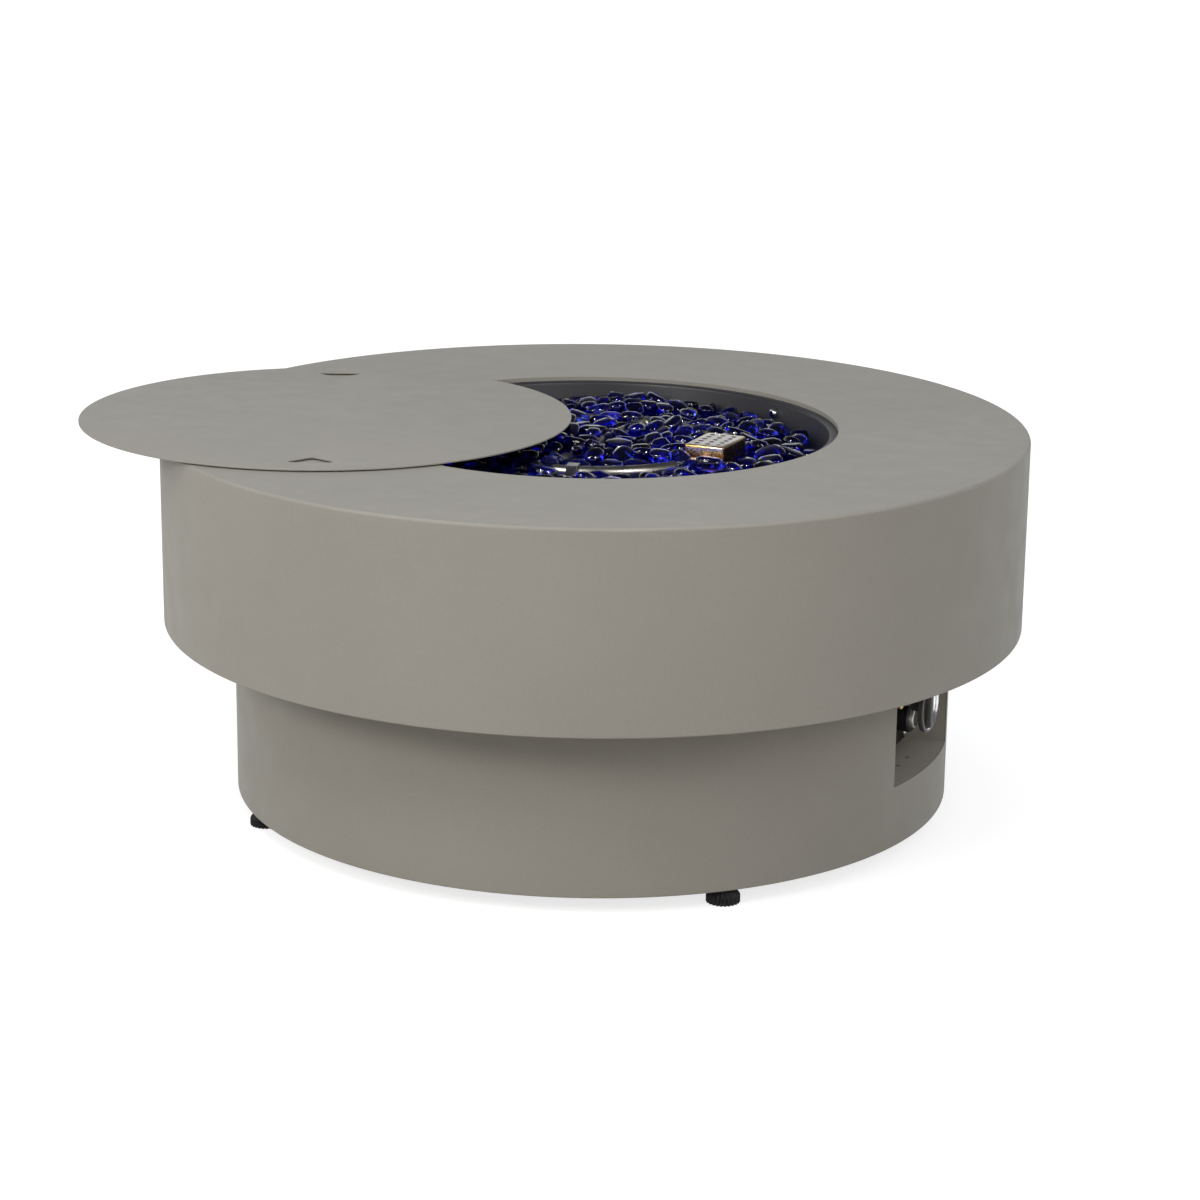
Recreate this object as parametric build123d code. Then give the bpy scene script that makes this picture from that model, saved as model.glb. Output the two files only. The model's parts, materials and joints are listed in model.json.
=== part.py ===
from build123d import *
import math
import os

# Propane fire table, millimetres. The origin is on the table's axis at the floor, +Z up.
# The control bay faces +X.

# Table top and base drum
table_diameter = 1066.8
apron_height = 236.0
base_height = 218.0
base_inset = 86.4
foot_height = 20.0
opening_diameter = 599.0
top_sheet = 1.6
base_sheet = 1.6
panel_sheet = 1.6
edge_round = 4.0
lip_round = 1.2
lip_depth = 6.0
apron_flange = 22.0
base_floor_flange = 46.0
base_top_flange = 32.0
post_depth = 36.0
post_width = 50.0
post_angles = (45, 135, 225, 315)

# Fasteners
screw_shank = 5.0
screw_head = 10.0
screw_head_height = 3.0
screw_proud = 3.0
screw_nut_width = 8.0
screw_nut_height = 4.0
flange_screw_count = 12
flange_screw_start = 15.0
flange_screw_inset = 6.0
base_bolt_count = 8
base_bolt_start = 22.5

# Lid, parked to one side of the opening
lid_overlap = 4.2
lid_sheet = 2.0
lid_park_x = -311.9
lid_park_y = -118.9
lid_hole_width = 65.0
lid_hole_depth = 22.0
lid_hole_inset = 39.7
lid_hole_corner = 5.0
lid_hole_angles = (-65, 115)
bumper_diameter = 12.0
bumper_height = 1.5
bumper_inset = 15.7
bumper_spread = 19.0

# Levelling feet
foot_inset = 21.0
foot_angles = (45, 135, 225, 315)
foot_pad_diameter = 40.0
foot_grip_height = 10.0
foot_neck_diameter = 26.0
foot_neck_height = 2.0
foot_edge = 2.0
foot_scallops = 12
foot_scallop_radius = 3.0
foot_scallop_out = 1.65
foot_stud_diameter = 10.0
foot_stud_length = 46.0
foot_stud_bury = 10.0
foot_stop_gap = 0.3
nut_plate_size = 36.0
nut_plate_height = 6.0

# Control bay
bay_width = 197.0
bay_height = 141.3
bay_depth = 62.0
bay_sheet = 1.5
bay_frame = 13.0
control_sheet = 2.0
drain_hole = 7.0
drain_spacing = 36.0
drain_inset = 34.5

# Gas valve and its knob
knob_y = 16.0
knob_above_sill = 70.0
knob_diameter = 66.0
knob_length = 24.0
knob_front = 56.5
knob_travel = 4.0
knob_dish = 5.0
knob_rim = 4.0
knob_edge = 1.0
knob_back_edge = 2.0
knob_collar = 6.0
knob_collar_slope = 4.0
knob_neck = 18.0
knob_grip_width = 10.0
knob_grip_proud = 2.0
knob_grip_inset = 6.0
stem_diameter = 8.0
stem_flat = 1.2
stem_shoulder = 2.0
bushing_diameter = 18.0
bushing_reach = 20.0
valve_nut_width = 27.0
valve_nut_height = 6.0
valve_body_diameter = 36.0
valve_body_length = 42.0
valve_port_diameter = 20.0
valve_port_reach = 30.0
valve_outlet_reach = 15.0
valve_tap_diameter = 13.4
inlet_thread = 15.9
inlet_length = 26.0
inlet_flare = 4.0
inlet_bore = 6.0
inlet_nut_width = 22.0
inlet_nut_height = 9.0

# Push-button igniter
igniter_y = 72.0
igniter_above_sill = 34.0
igniter_bezel = 38.0
igniter_front = 16.0
igniter_edge = 2.0
igniter_barrel = 20.0
igniter_length = 44.0
igniter_nut_width = 25.0
igniter_nut_height = 5.0
button_diameter = 26.0
button_stick_out = 5.0
button_edge = 2.0
button_cap = 6.0
button_stem = 12.0
button_travel = 4.0

# Fire bowl and heat shield
bowl_sheet = 1.2
bowl_ledge = 10.5
bowl_taper = 13.0
bowl_depth = 80.0
bowl_flange = 24.0
bowl_corner = 14.0
bowl_drain_count = 6
bowl_drain_start = 30.0
bowl_drain_diameter = 10.0
bowl_drain_inset = 55.0
bowl_bolt_angles = (60, 150, 240, 330)
bowl_bolt_drop = 20.0
bowl_bolt_shank = 6.0
bowl_bolt_head = 12.5
bowl_bolt_head_height = 5.5
bowl_bolt_head_round = 3.0
bowl_nut_width = 10.0
bowl_nut_height = 5.0
bowl_nut_proud = 3.0
bracket_width = 30.0
bracket_sheet = 2.0
bracket_foot = 26.0
bracket_drop = 34.0
bracket_crown = 9.0
shield_inset = 6.0
shield_sheet = 1.0
shield_gap = 30.0
shield_rim = 12.0
spacer_diameter = 12.0
spacer_inset = 55.0
spacer_count = 3
spacer_start = 90.0

# Ring burner and gas line
ring_diameter = 300.0
ring_tube = 16.0
ring_wall = 1.2
ring_top_drop = 20.0
port_diameter = 3.0
port_count = 24
hub_diameter = 34.0
hub_height = 26.0
nipple_diameter = 21.3
nipple_below = 30.0
locknut_width = 34.0
locknut_height = 7.0
leg_angles = (-76, 44, 164)
leg_width = 14.0
leg_sheet = 1.5
leg_foot = 18.0
mixer_diameter = 30.0
mixer_length = 64.0
mixer_socket = 18.0
mixer_bore = 15.0
mixer_foot_inset = 6.0
mixer_foot_height = 10.0
mixer_cone_height = 8.0
mixer_jet = 2.0
mixer_jet_height = 12.0
mixer_window = 9.0
mixer_window_drop = 12.0
mixer_windows = 4
gas_tube_diameter = 10.0
gas_tube_wall = 1.0
gas_tube_bend = 70.0
gas_tube_sweep = 280.0
gas_tube_turn_x = 180.0

# Igniter box inside the bowl
hood_offset = 10.0
hood_depth = 51.0
hood_width = 74.0
hood_top_drop = 5.0
hood_sheet = 1.2
hood_hole = 6.0
hood_hole_rows = 3
hood_hole_columns = 5
hood_hole_pitch_x = 13.8
hood_hole_pitch_y = 12.6
hood_corner = 3.0
hood_slot_gap = 0.9
probe_offset_x = 14.0
probe_spacing = 24.0
probe_tip_drop = 26.0
probe_tip_length = 12.0
electrode_ceramic = 7.0
ceramic_collar = 11.0
ceramic_collar_height = 3.0
electrode_rod = 2.4
rod_bend = 3.0
rod_tip_rise = 4.0
spark_gap = 5.0
thermocouple_diameter = 5.0
thermocouple_tip = 3.0
thermocouple_collar = 8.0
thermocouple_collar_height = 5.0
probe_length = 36.0
tab_sheet = 1.5
tab_drop = 52.0
tab_depth = 14.0
tab_end_gap = 3.0
lead_diameter = 3.0
lead_hole = 8.0
lead_bend = 24.0
tap_lead_side = 50.0
tap_lead_turn = 60.0
tap_lead_dip = 60.0
spark_lead_run = 40.0
spark_lead_turn = 40.0
spark_lead_side = 20.0
spark_lead_dip = 40.0

# Fire glass
glass_edge_drop = 31.0
glass_ring_rise = 4.0
glass_crown = 8.0
glass_clearance = 1.0
stone_size = 31.0
stone_height = 10.0
stone_proud = 5.0
stone_spacing = 35.0
stone_bevel = 30.0
stone_tip = 12.0
stone_turn = 137.5

# Fits
slide_fit = 0.3
seat_gap = 0.2
thread_fit = 0.15
running_fit = 0.1
cut_over = 1.0

# Levels and radii worked out from the sizes above
top_radius = table_diameter / 2
opening_radius = opening_diameter / 2
base_radius = top_radius - base_inset
apron_level = foot_height + base_height
table_height = apron_level + apron_height
panel_level = apron_level + top_sheet
post_level = panel_level + panel_sheet
plate_under = table_height - top_sheet
base_inner = base_radius - base_sheet
foot_reach = base_radius - foot_inset
flange_screw_reach = top_radius - apron_flange + flange_screw_inset
base_bolt_reach = base_inner - base_top_flange / 2
bay_ceiling = panel_level - base_sheet - seat_gap - bay_sheet
sill_level = bay_ceiling - bay_height
control_x = base_radius - bay_depth
control_back = control_x - control_sheet
frame_back = control_back - bay_sheet
knob_z = sill_level + knob_above_sill
igniter_z = sill_level + igniter_above_sill
mouth_radius = opening_radius - bowl_ledge
floor_radius = mouth_radius - bowl_taper
bowl_top = table_height - lip_depth
bowl_floor = table_height - bowl_depth
bowl_under = bowl_floor - bowl_sheet
bolt_level = table_height - bowl_bolt_drop
shield_top = bowl_under - shield_gap
shield_radius = floor_radius - shield_inset
spacer_reach = shield_radius - spacer_inset
ring_radius = ring_diameter / 2
ring_level = table_height - ring_top_drop - ring_tube / 2
nipple_end = bowl_under - nipple_below
mixer_top = nipple_end + mixer_socket
mixer_end = mixer_top - mixer_length
hood_top = table_height - hood_top_drop
hood_x = ring_radius + hood_offset
probe_x = hood_x + probe_offset_x
valve_x = control_back - valve_body_length / 2
knob_face_x = control_x + knob_front
bushing_end = control_x + bushing_reach
valve_back = control_back - valve_body_length
outlet_x = valve_back - valve_outlet_reach
inlet_top = knob_z - valve_port_reach
igniter_face_x = control_x + igniter_front
tab_level = table_height - tab_drop
probe_tip = table_height - probe_tip_drop
sleeve_tip = probe_tip - probe_tip_length
probe_end = sleeve_tip - probe_length
lid_radius = opening_radius + lid_overlap
lid_level = table_height + bumper_height
glass_edge = table_height - glass_edge_drop


def outline(corners):
    """Closed face in the XZ plane from (x, z) corners; a third number rounds that corner."""
    points = [Vector(c[0], 0, c[1]) for c in corners]
    radii = [c[2] if len(c) > 2 else 0.0 for c in corners]
    edges, ends = [], []
    for i, (corner, radius) in enumerate(zip(points, radii)):
        back = (points[i - 1] - corner).normalized()
        ahead = (points[(i + 1) % len(points)] - corner).normalized()
        first = last = corner
        if radius:
            half = math.radians(back.get_angle(ahead)) / 2
            setback = radius / math.tan(half)
            first, last = corner + back * setback, corner + ahead * setback
            inward = (back + ahead).normalized()
            middle = corner + inward * (radius / math.sin(half) - radius)
            edges.append(ThreePointArc(first, middle, last))
        ends.append((first, last))
    edges += [Line(ends[i - 1][1], ends[i][0]) for i in range(len(ends))]
    return make_face(edges)


def turned(corners):
    """A solid turned about Z from a closed outline of (radius, level) corners."""
    return revolve(outline(corners), Axis.Z)


def turned_along_x(corners):
    """A solid turned about X from a closed outline of (radius, station) corners."""
    return revolve(outline([(c[1], c[0], *c[2:]) for c in corners]), Axis.X)


def upright(diameter, low, high, x=0.0, y=0.0):
    """A round bar along Z between two levels."""
    bar = Cylinder(diameter / 2, high - low, align=(Align.CENTER, Align.CENTER, Align.MIN))
    return Pos(x, y, low) * bar


def along_x(diameter, start, end, y, z):
    """A round bar along X between two stations."""
    bar = Cylinder(diameter / 2, end - start, align=(Align.CENTER, Align.CENTER, Align.MIN))
    return Pos(start, y, z) * Rot(0, 90, 0) * bar


def block(x0, x1, y0, y1, z0, z1):
    """A box between two corners."""
    middle = ((x0 + x1) / 2, (y0 + y1) / 2, (z0 + z1) / 2)
    return Pos(*middle) * Box(x1 - x0, y1 - y0, z1 - z0)


def hex_prism(width, height):
    """A hexagonal prism standing on the XY plane, sized across its flats."""
    return extrude(RegularPolygon(width / 2, 6, major_radius=False), height)


def polar(reach, angle, level=0.0):
    """A place at a radius and an angle, turned to face outwards."""
    return Rot(0, 0, angle) * Pos(reach, 0, level)


def spread(count, start=0.0):
    """Evenly spaced angles."""
    return [start + 360 / count * i for i in range(count)]


def bowl_wall(level):
    """Radius of the bowl's inner face at a level."""
    return floor_radius + bowl_taper * (level - bowl_floor) / (bowl_top - bowl_floor)


def make_table_top():
    """Round top plate, its apron, the return at the apron's foot and the lip round the opening."""
    shell = turned([
        (opening_radius, table_height, lip_round), (top_radius, table_height, edge_round),
        (top_radius, apron_level, lip_round),
        (top_radius - apron_flange, apron_level), (top_radius - apron_flange, panel_level),
        (top_radius - top_sheet, panel_level), (top_radius - top_sheet, plate_under, edge_round - top_sheet),
        (opening_radius + top_sheet, plate_under),
        (opening_radius + top_sheet, bowl_top), (opening_radius, bowl_top)])
    bore = upright(screw_shank + 2 * thread_fit, apron_level, panel_level)
    for angle in spread(flange_screw_count, flange_screw_start):
        shell -= polar(flange_screw_reach, angle) * bore
    return shell


def make_underside_panel():
    """Flat ring that closes the apron from below and sits on the base drum's top flange."""
    inner = base_inner - base_top_flange
    panel = turned([
        (inner, panel_level), (top_radius - top_sheet - slide_fit, panel_level),
        (top_radius - top_sheet - slide_fit, post_level), (inner, post_level)])
    bore = upright(screw_shank + 2 * thread_fit, panel_level, post_level)
    for angle in spread(flange_screw_count, flange_screw_start):
        panel -= polar(flange_screw_reach, angle) * bore
    for angle in spread(base_bolt_count, base_bolt_start):
        panel -= polar(base_bolt_reach, angle) * bore
    return panel


def make_flange_screws():
    """Screws that hold the apron's return to the underside panel."""
    screw = upright(screw_shank, apron_level, post_level + screw_proud)
    screw += upright(screw_head, apron_level - screw_head_height, apron_level)
    return [polar(flange_screw_reach, angle) * screw
            for angle in spread(flange_screw_count, flange_screw_start)]


def make_base_bolts():
    """Bolts that hold the underside panel down on the base drum."""
    flange_under = panel_level - base_sheet
    bolt = upright(screw_shank, flange_under, post_level)
    bolt += upright(screw_head, post_level, post_level + screw_head_height)
    bolt += Pos(0, 0, flange_under - screw_nut_height) * hex_prism(screw_nut_width, screw_nut_height)
    return [polar(base_bolt_reach, angle) * bolt for angle in spread(base_bolt_count, base_bolt_start)]


def make_top_posts():
    """Four folded posts between the underside panel and the top plate, over the base wall."""
    channel = block(-post_depth / 2, post_depth / 2, -post_width / 2, post_width / 2,
                    post_level, plate_under)
    channel -= block(-post_depth / 2, post_depth / 2 - panel_sheet, -post_width / 2 + panel_sheet,
                     post_width / 2 - panel_sheet, post_level, plate_under)
    return [polar(base_radius, angle) * channel for angle in post_angles]


def make_base_drum():
    """Base wall with a flange at each end, the bay's window and the holes for the feet."""
    shell = turned([
        (base_radius, foot_height, lip_round), (base_radius, panel_level),
        (base_inner - base_top_flange, panel_level),
        (base_inner - base_top_flange, panel_level - base_sheet),
        (base_inner, panel_level - base_sheet), (base_inner, foot_height + base_sheet),
        (base_inner - base_floor_flange, foot_height + base_sheet),
        (base_inner - base_floor_flange, foot_height)])
    shell -= block(control_x, base_radius + cut_over, -bay_width / 2, bay_width / 2,
                   sill_level, bay_ceiling)
    for angle in foot_angles:
        shell -= polar(foot_reach, angle) * upright(
            foot_stud_diameter + 2 * slide_fit, foot_height, foot_height + base_sheet)
    bore = upright(screw_shank + 2 * thread_fit, panel_level - base_sheet, panel_level)
    for angle in spread(base_bolt_count, base_bolt_start):
        shell -= polar(base_bolt_reach, angle) * bore
    return shell


def make_bay_tray():
    """Folded box behind the window: floor, sides, ceiling and a frame for the control plate."""
    half = bay_width / 2
    tray = block(frame_back, base_radius, -half - bay_sheet, half + bay_sheet,
                 sill_level - bay_sheet, bay_ceiling + bay_sheet)
    tray -= block(control_back, base_radius + cut_over, -half, half, sill_level, bay_ceiling)
    tray -= block(frame_back, control_back, -half + bay_frame, half - bay_frame,
                  sill_level + bay_frame, bay_ceiling - bay_frame)
    tray &= upright(2 * (base_inner - seat_gap), 0, table_height)
    for side in (-1, 1):
        tray -= upright(drain_hole, sill_level - bay_sheet, sill_level,
                        base_radius - drain_inset, side * drain_spacing / 2)
    for y, z in control_screw_places():
        tray -= along_x(screw_shank + 2 * thread_fit, frame_back, control_back, y, z)
    return tray


def control_screw_places():
    """Corners of the control plate where its screws go, as (y, z)."""
    inset = bay_frame / 2
    half = bay_width / 2 - inset
    levels = (sill_level + inset, bay_ceiling - inset)
    return [(side * half, level) for side in (-1, 1) for level in levels]


def make_control_panel():
    """Flat plate at the back of the bay, with holes for the valve and the igniter."""
    half = bay_width / 2 - slide_fit
    plate = block(control_back, control_x, -half, half,
                  sill_level + slide_fit, bay_ceiling - slide_fit)
    plate -= along_x(bushing_diameter + 2 * thread_fit, control_back, control_x, knob_y, knob_z)
    plate -= along_x(igniter_barrel + 2 * thread_fit, control_back, control_x, igniter_y, igniter_z)
    for y, z in control_screw_places():
        plate -= along_x(screw_shank + 2 * thread_fit, control_back, control_x, y, z)
    return plate


def make_control_screws():
    """Four screws through the control plate into the bay's frame."""
    screws = []
    for y, z in control_screw_places():
        screw = along_x(screw_shank, frame_back - screw_proud, control_x, y, z)
        screw += along_x(screw_head, control_x, control_x + screw_head_height, y, z)
        screws.append(screw)
    return screws


def make_gas_valve():
    """Brass valve behind the plate, its threaded neck, inlet boss and outlet boss."""
    body = along_x(valve_body_diameter, valve_back, control_back, knob_y, knob_z)
    body += along_x(bushing_diameter, control_back, bushing_end, knob_y, knob_z)
    body += upright(valve_port_diameter, inlet_top, knob_z, valve_x, knob_y)
    body += along_x(valve_port_diameter, outlet_x, control_back, knob_y, knob_z)
    tap = Cylinder(valve_tap_diameter / 2, valve_port_reach, align=(Align.CENTER, Align.CENTER, Align.MIN))
    body += Pos(valve_x, knob_y, knob_z) * Rot(90, 0, 0) * tap
    return body - along_x(stem_diameter + 2 * running_fit, valve_x, bushing_end, knob_y, knob_z)


def make_valve_nut():
    """Hexagon nut that clamps the valve to the control plate."""
    nut = Pos(control_x, knob_y, knob_z) * Rot(0, 90, 0) * hex_prism(valve_nut_width, valve_nut_height)
    return nut - along_x(bushing_diameter + 2 * thread_fit, control_x,
                         control_x + valve_nut_height, knob_y, knob_z)


def d_shaft(start, end, extra=0.0):
    """Valve stem section with one flat, grown by a clearance for the knob's bore."""
    shaft = along_x(stem_diameter + 2 * extra, start, end, knob_y, knob_z)
    flat = knob_z + stem_diameter / 2 - stem_flat + extra
    return shaft - block(start, end, knob_y - stem_diameter, knob_y + stem_diameter,
                         flat, knob_z + stem_diameter)


def make_valve_stem():
    """Stem that turns in the valve's neck and carries the knob on its flat."""
    tip = knob_face_x - knob_dish - knob_rim - knob_travel
    shoulder = bushing_end + stem_shoulder
    return along_x(stem_diameter, valve_x, shoulder, knob_y, knob_z) + d_shaft(shoulder, tip)


def make_control_knob():
    """Turned metal knob: a dished disc with a grip bar across it, on a narrow neck."""
    radius = knob_diameter / 2
    back = knob_face_x - knob_length
    neck = knob_neck / 2
    lip = radius - knob_rim
    collar = knob_face_x - knob_collar
    dish = knob_face_x - knob_dish
    knob = turned_along_x([
        (0, back), (neck - knob_back_edge, back), (neck, back + knob_back_edge),
        (neck, collar - knob_collar_slope), (radius, collar), (radius, knob_face_x - knob_edge),
        (radius - knob_edge, knob_face_x), (lip, knob_face_x), (lip - knob_dish, dish), (0, dish)])
    grip = radius - knob_grip_inset
    knob += block(dish, knob_face_x + knob_grip_proud, -knob_grip_width / 2, knob_grip_width / 2, -grip, grip)
    return Pos(0, knob_y, knob_z) * knob - d_shaft(back, dish - knob_rim, running_fit)


def make_inlet_fitting():
    """Male flare fitting under the valve, where the gas supply is screwed on."""
    radius = inlet_thread / 2
    nut_low = inlet_top - inlet_nut_height
    nose = inlet_top - inlet_length
    fitting = Pos(0, 0, nut_low) * hex_prism(inlet_nut_width, inlet_nut_height)
    fitting += turned([
        (0, nose), (radius - inlet_flare, nose), (radius, nose + inlet_flare),
        (radius, nut_low), (0, nut_low)])
    fitting -= upright(inlet_bore, nose, inlet_top)
    return Pos(valve_x, knob_y, 0) * fitting


def make_igniter_body():
    """Igniter barrel through the plate with its round bezel in front."""
    front = igniter_face_x
    bezel = igniter_bezel / 2
    body = turned_along_x([
        (0, control_back - igniter_length), (igniter_barrel / 2, control_back - igniter_length),
        (igniter_barrel / 2, control_x), (bezel, control_x),
        (bezel, front - igniter_edge), (bezel - igniter_edge, front), (0, front)])
    body -= along_x(button_diameter + 2 * slide_fit, front - button_travel - button_cap, front, 0, 0)
    body -= along_x(button_stem + 2 * running_fit, control_back - button_travel, front, 0, 0)
    return Pos(0, igniter_y, igniter_z) * body


def make_igniter_nut():
    """Nut behind the plate that clamps the igniter."""
    nut = Pos(control_back - igniter_nut_height, igniter_y, igniter_z) * Rot(0, 90, 0) * hex_prism(
        igniter_nut_width, igniter_nut_height)
    return nut - along_x(igniter_barrel + 2 * thread_fit, control_back - igniter_nut_height,
                         control_back, igniter_y, igniter_z)


def make_igniter_button():
    """Push button with a domed cap, on a stem that slides in the barrel."""
    seat = igniter_face_x - button_cap
    face = igniter_face_x + button_stick_out
    radius = button_diameter / 2
    cap = turned_along_x([
        (0, seat), (radius, seat), (radius, face - button_edge), (radius - button_edge, face), (0, face)])
    cap += along_x(button_stem, control_back + slide_fit, seat, 0, 0)
    return Pos(0, igniter_y, igniter_z) * cap


def make_fire_bowl():
    """Steel bowl that hangs under the opening, with a flange, a tapered wall and a drained floor."""
    t = bowl_sheet
    bowl = turned([
        (0, bowl_under), (floor_radius + t, bowl_under, bowl_corner + t), (mouth_radius + t, bowl_top - t),
        (mouth_radius + bowl_flange, bowl_top - t), (mouth_radius + bowl_flange, bowl_top),
        (mouth_radius, bowl_top), (floor_radius, bowl_floor, bowl_corner), (0, bowl_floor)])
    bowl -= upright(nipple_diameter + 2 * slide_fit, bowl_under, bowl_floor)
    for y in (-probe_spacing / 2, probe_spacing / 2):
        bowl -= upright(lead_hole, bowl_under, bowl_floor, probe_x, y)
    drain = upright(bowl_drain_diameter, bowl_under, bowl_floor, floor_radius - bowl_drain_inset)
    for angle in spread(bowl_drain_count, bowl_drain_start):
        bowl -= Rot(0, 0, angle) * drain
    bore = along_x(bowl_bolt_shank + 2 * thread_fit, floor_radius, mouth_radius + bowl_sheet, 0, bolt_level)
    for angle in bowl_bolt_angles:
        bowl -= Rot(0, 0, angle) * bore
    return bowl


def bracket_face():
    """Radius of the brackets' inner face, clear of the bowl's taper."""
    return bowl_wall(bolt_level + bracket_crown) + bowl_sheet + seat_gap


def make_bowl_brackets():
    """Folded brackets under the top plate that the bowl is bolted to."""
    leg = mouth_radius + bowl_flange + seat_gap
    low = plate_under - bracket_drop
    half = bracket_width / 2
    wall = bracket_face()
    outer = leg + bracket_sheet
    bracket = block(leg, leg + bracket_foot, -half, half, plate_under - bracket_sheet, plate_under)
    bracket += block(leg, outer, -half, half, low, plate_under)
    bracket += block(wall, outer, -half, half, low, low + bracket_sheet)
    bracket += block(wall, wall + bracket_sheet, -half, half, low, bolt_level + bracket_crown)
    bracket -= along_x(bowl_bolt_shank + 2 * thread_fit, wall, wall + bracket_sheet, 0, bolt_level)
    return [Rot(0, 0, angle) * bracket for angle in bowl_bolt_angles]


def make_bowl_bolts():
    """Round-headed bolts on the bowl's inner wall."""
    seat = bowl_wall(bolt_level - bowl_bolt_head / 2) - seat_gap
    end = bracket_face() + bracket_sheet + bowl_nut_height + bowl_nut_proud
    face = seat - bowl_bolt_head_height
    bolt = turned_along_x([
        (0, face), (bowl_bolt_head / 2, face, bowl_bolt_head_round), (bowl_bolt_head / 2, seat),
        (bowl_bolt_shank / 2, seat), (bowl_bolt_shank / 2, end), (0, end)])
    bolt = Pos(0, 0, bolt_level) * bolt
    return [Rot(0, 0, angle) * bolt for angle in bowl_bolt_angles]


def make_bowl_nuts():
    """Nuts behind the brackets."""
    start = bracket_face() + bracket_sheet
    nut = Pos(start, 0, bolt_level) * Rot(0, 90, 0) * hex_prism(bowl_nut_width, bowl_nut_height)
    nut -= along_x(bowl_bolt_shank + 2 * thread_fit, start, start + bowl_nut_height, 0, bolt_level)
    return [Rot(0, 0, angle) * nut for angle in bowl_bolt_angles]


def make_heat_shield():
    """Shallow pan under the bowl that keeps the heat off the gas line."""
    low = shield_top - shield_sheet
    inner = shield_radius - shield_sheet
    shield = turned([
        (mixer_diameter, low), (shield_radius, low), (shield_radius, shield_top + shield_rim),
        (inner, shield_top + shield_rim), (inner, shield_top), (mixer_diameter, shield_top)])
    shield -= upright(2 * probe_spacing, low, shield_top, probe_x, 0)
    for angle in spread(spacer_count, spacer_start):
        shield -= polar(spacer_reach, angle) * upright(screw_shank + 2 * thread_fit, low, shield_top)
    return shield


def make_shield_spacers():
    """Posts between the bowl's floor and the heat shield."""
    spacer = upright(spacer_diameter, shield_top, bowl_under)
    spacer += upright(screw_shank, shield_top - shield_sheet, shield_top)
    spacer += upright(screw_head, shield_top - shield_sheet - screw_head_height,
                      shield_top - shield_sheet)
    return [polar(spacer_reach, angle) * spacer for angle in spread(spacer_count, spacer_start)]


def make_ring_burner():
    """Ring tube with gas ports, a cross tube, a hub and the nipple through the bowl's floor."""
    ring = Pos(0, 0, ring_level) * Torus(ring_radius, ring_tube / 2)
    cross = Pos(0, 0, ring_level) * Rot(0, 0, 90) * Rot(0, 90, 0) * Cylinder(
        ring_tube / 2, ring_diameter)
    hub = upright(hub_diameter, ring_level - hub_height, ring_level)
    burner = ring + cross + hub + upright(nipple_diameter, nipple_end, ring_level)
    burner -= Pos(0, 0, ring_level) * Torus(ring_radius, ring_tube / 2 - ring_wall)
    burner -= upright(mixer_bore, nipple_end, ring_level)
    for angle in spread(port_count, 360 / port_count / 2):
        burner -= polar(ring_radius, angle) * upright(port_diameter, ring_level, ring_level + ring_tube)
    return burner


def make_burner_legs():
    """Strap legs that hook over the ring and stand on the bowl's floor."""
    gap = seat_gap
    inner = ring_radius + ring_tube / 2 + gap
    outer = inner + leg_sheet
    crest = ring_level + ring_tube / 2 + gap
    half = leg_width / 2
    leg = block(inner, outer, -half, half, bowl_floor, crest + leg_sheet)
    leg += block(inner, inner + leg_foot, -half, half, bowl_floor, bowl_floor + leg_sheet)
    leg += block(ring_radius - ring_tube / 2, outer, -half, half, crest, crest + leg_sheet)
    return [Rot(0, 0, angle) * leg for angle in leg_angles]


def make_burner_locknut():
    """Hexagon nut that clamps the burner's nipple to the bowl."""
    nut = Pos(0, 0, bowl_under - locknut_height) * hex_prism(locknut_width, locknut_height)
    return nut - upright(nipple_diameter + 2 * thread_fit, bowl_under - locknut_height, bowl_under)


def make_air_mixer():
    """Venturi body on the nipple, with air windows and a jet holder at its foot."""
    outer = mixer_diameter / 2
    waist = outer - mixer_foot_inset
    cone = mixer_end + mixer_foot_height
    jet = mixer_end + mixer_jet_height
    mixer = turned([
        (0, mixer_end), (waist, mixer_end), (waist, cone), (outer, cone + mixer_cone_height),
        (outer, mixer_top), (0, mixer_top)])
    mixer -= upright(nipple_diameter + 2 * thread_fit, nipple_end, mixer_top)
    mixer -= upright(mixer_bore, jet, nipple_end)
    mixer -= upright(mixer_jet, mixer_end, jet)
    window = along_x(mixer_window, 0, outer + cut_over, 0, nipple_end - mixer_window_drop)
    for angle in spread(mixer_windows, 180 / mixer_windows):
        mixer -= Rot(0, 0, angle) * window
    return mixer


def make_gas_tube():
    """Rigid tube from the valve's outlet to the jet under the mixer."""
    route = FilletPolyline(
        (outlet_x, knob_y, knob_z), (gas_tube_turn_x, knob_y, knob_z), (0, 0, knob_z), (0, 0, mixer_end),
        radius=[gas_tube_sweep, gas_tube_bend])
    outer = gas_tube_diameter / 2
    section = Circle(outer) - Circle(outer - gas_tube_wall)
    return sweep(Plane(origin=route @ 0, z_dir=route % 0) * section, route)


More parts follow.
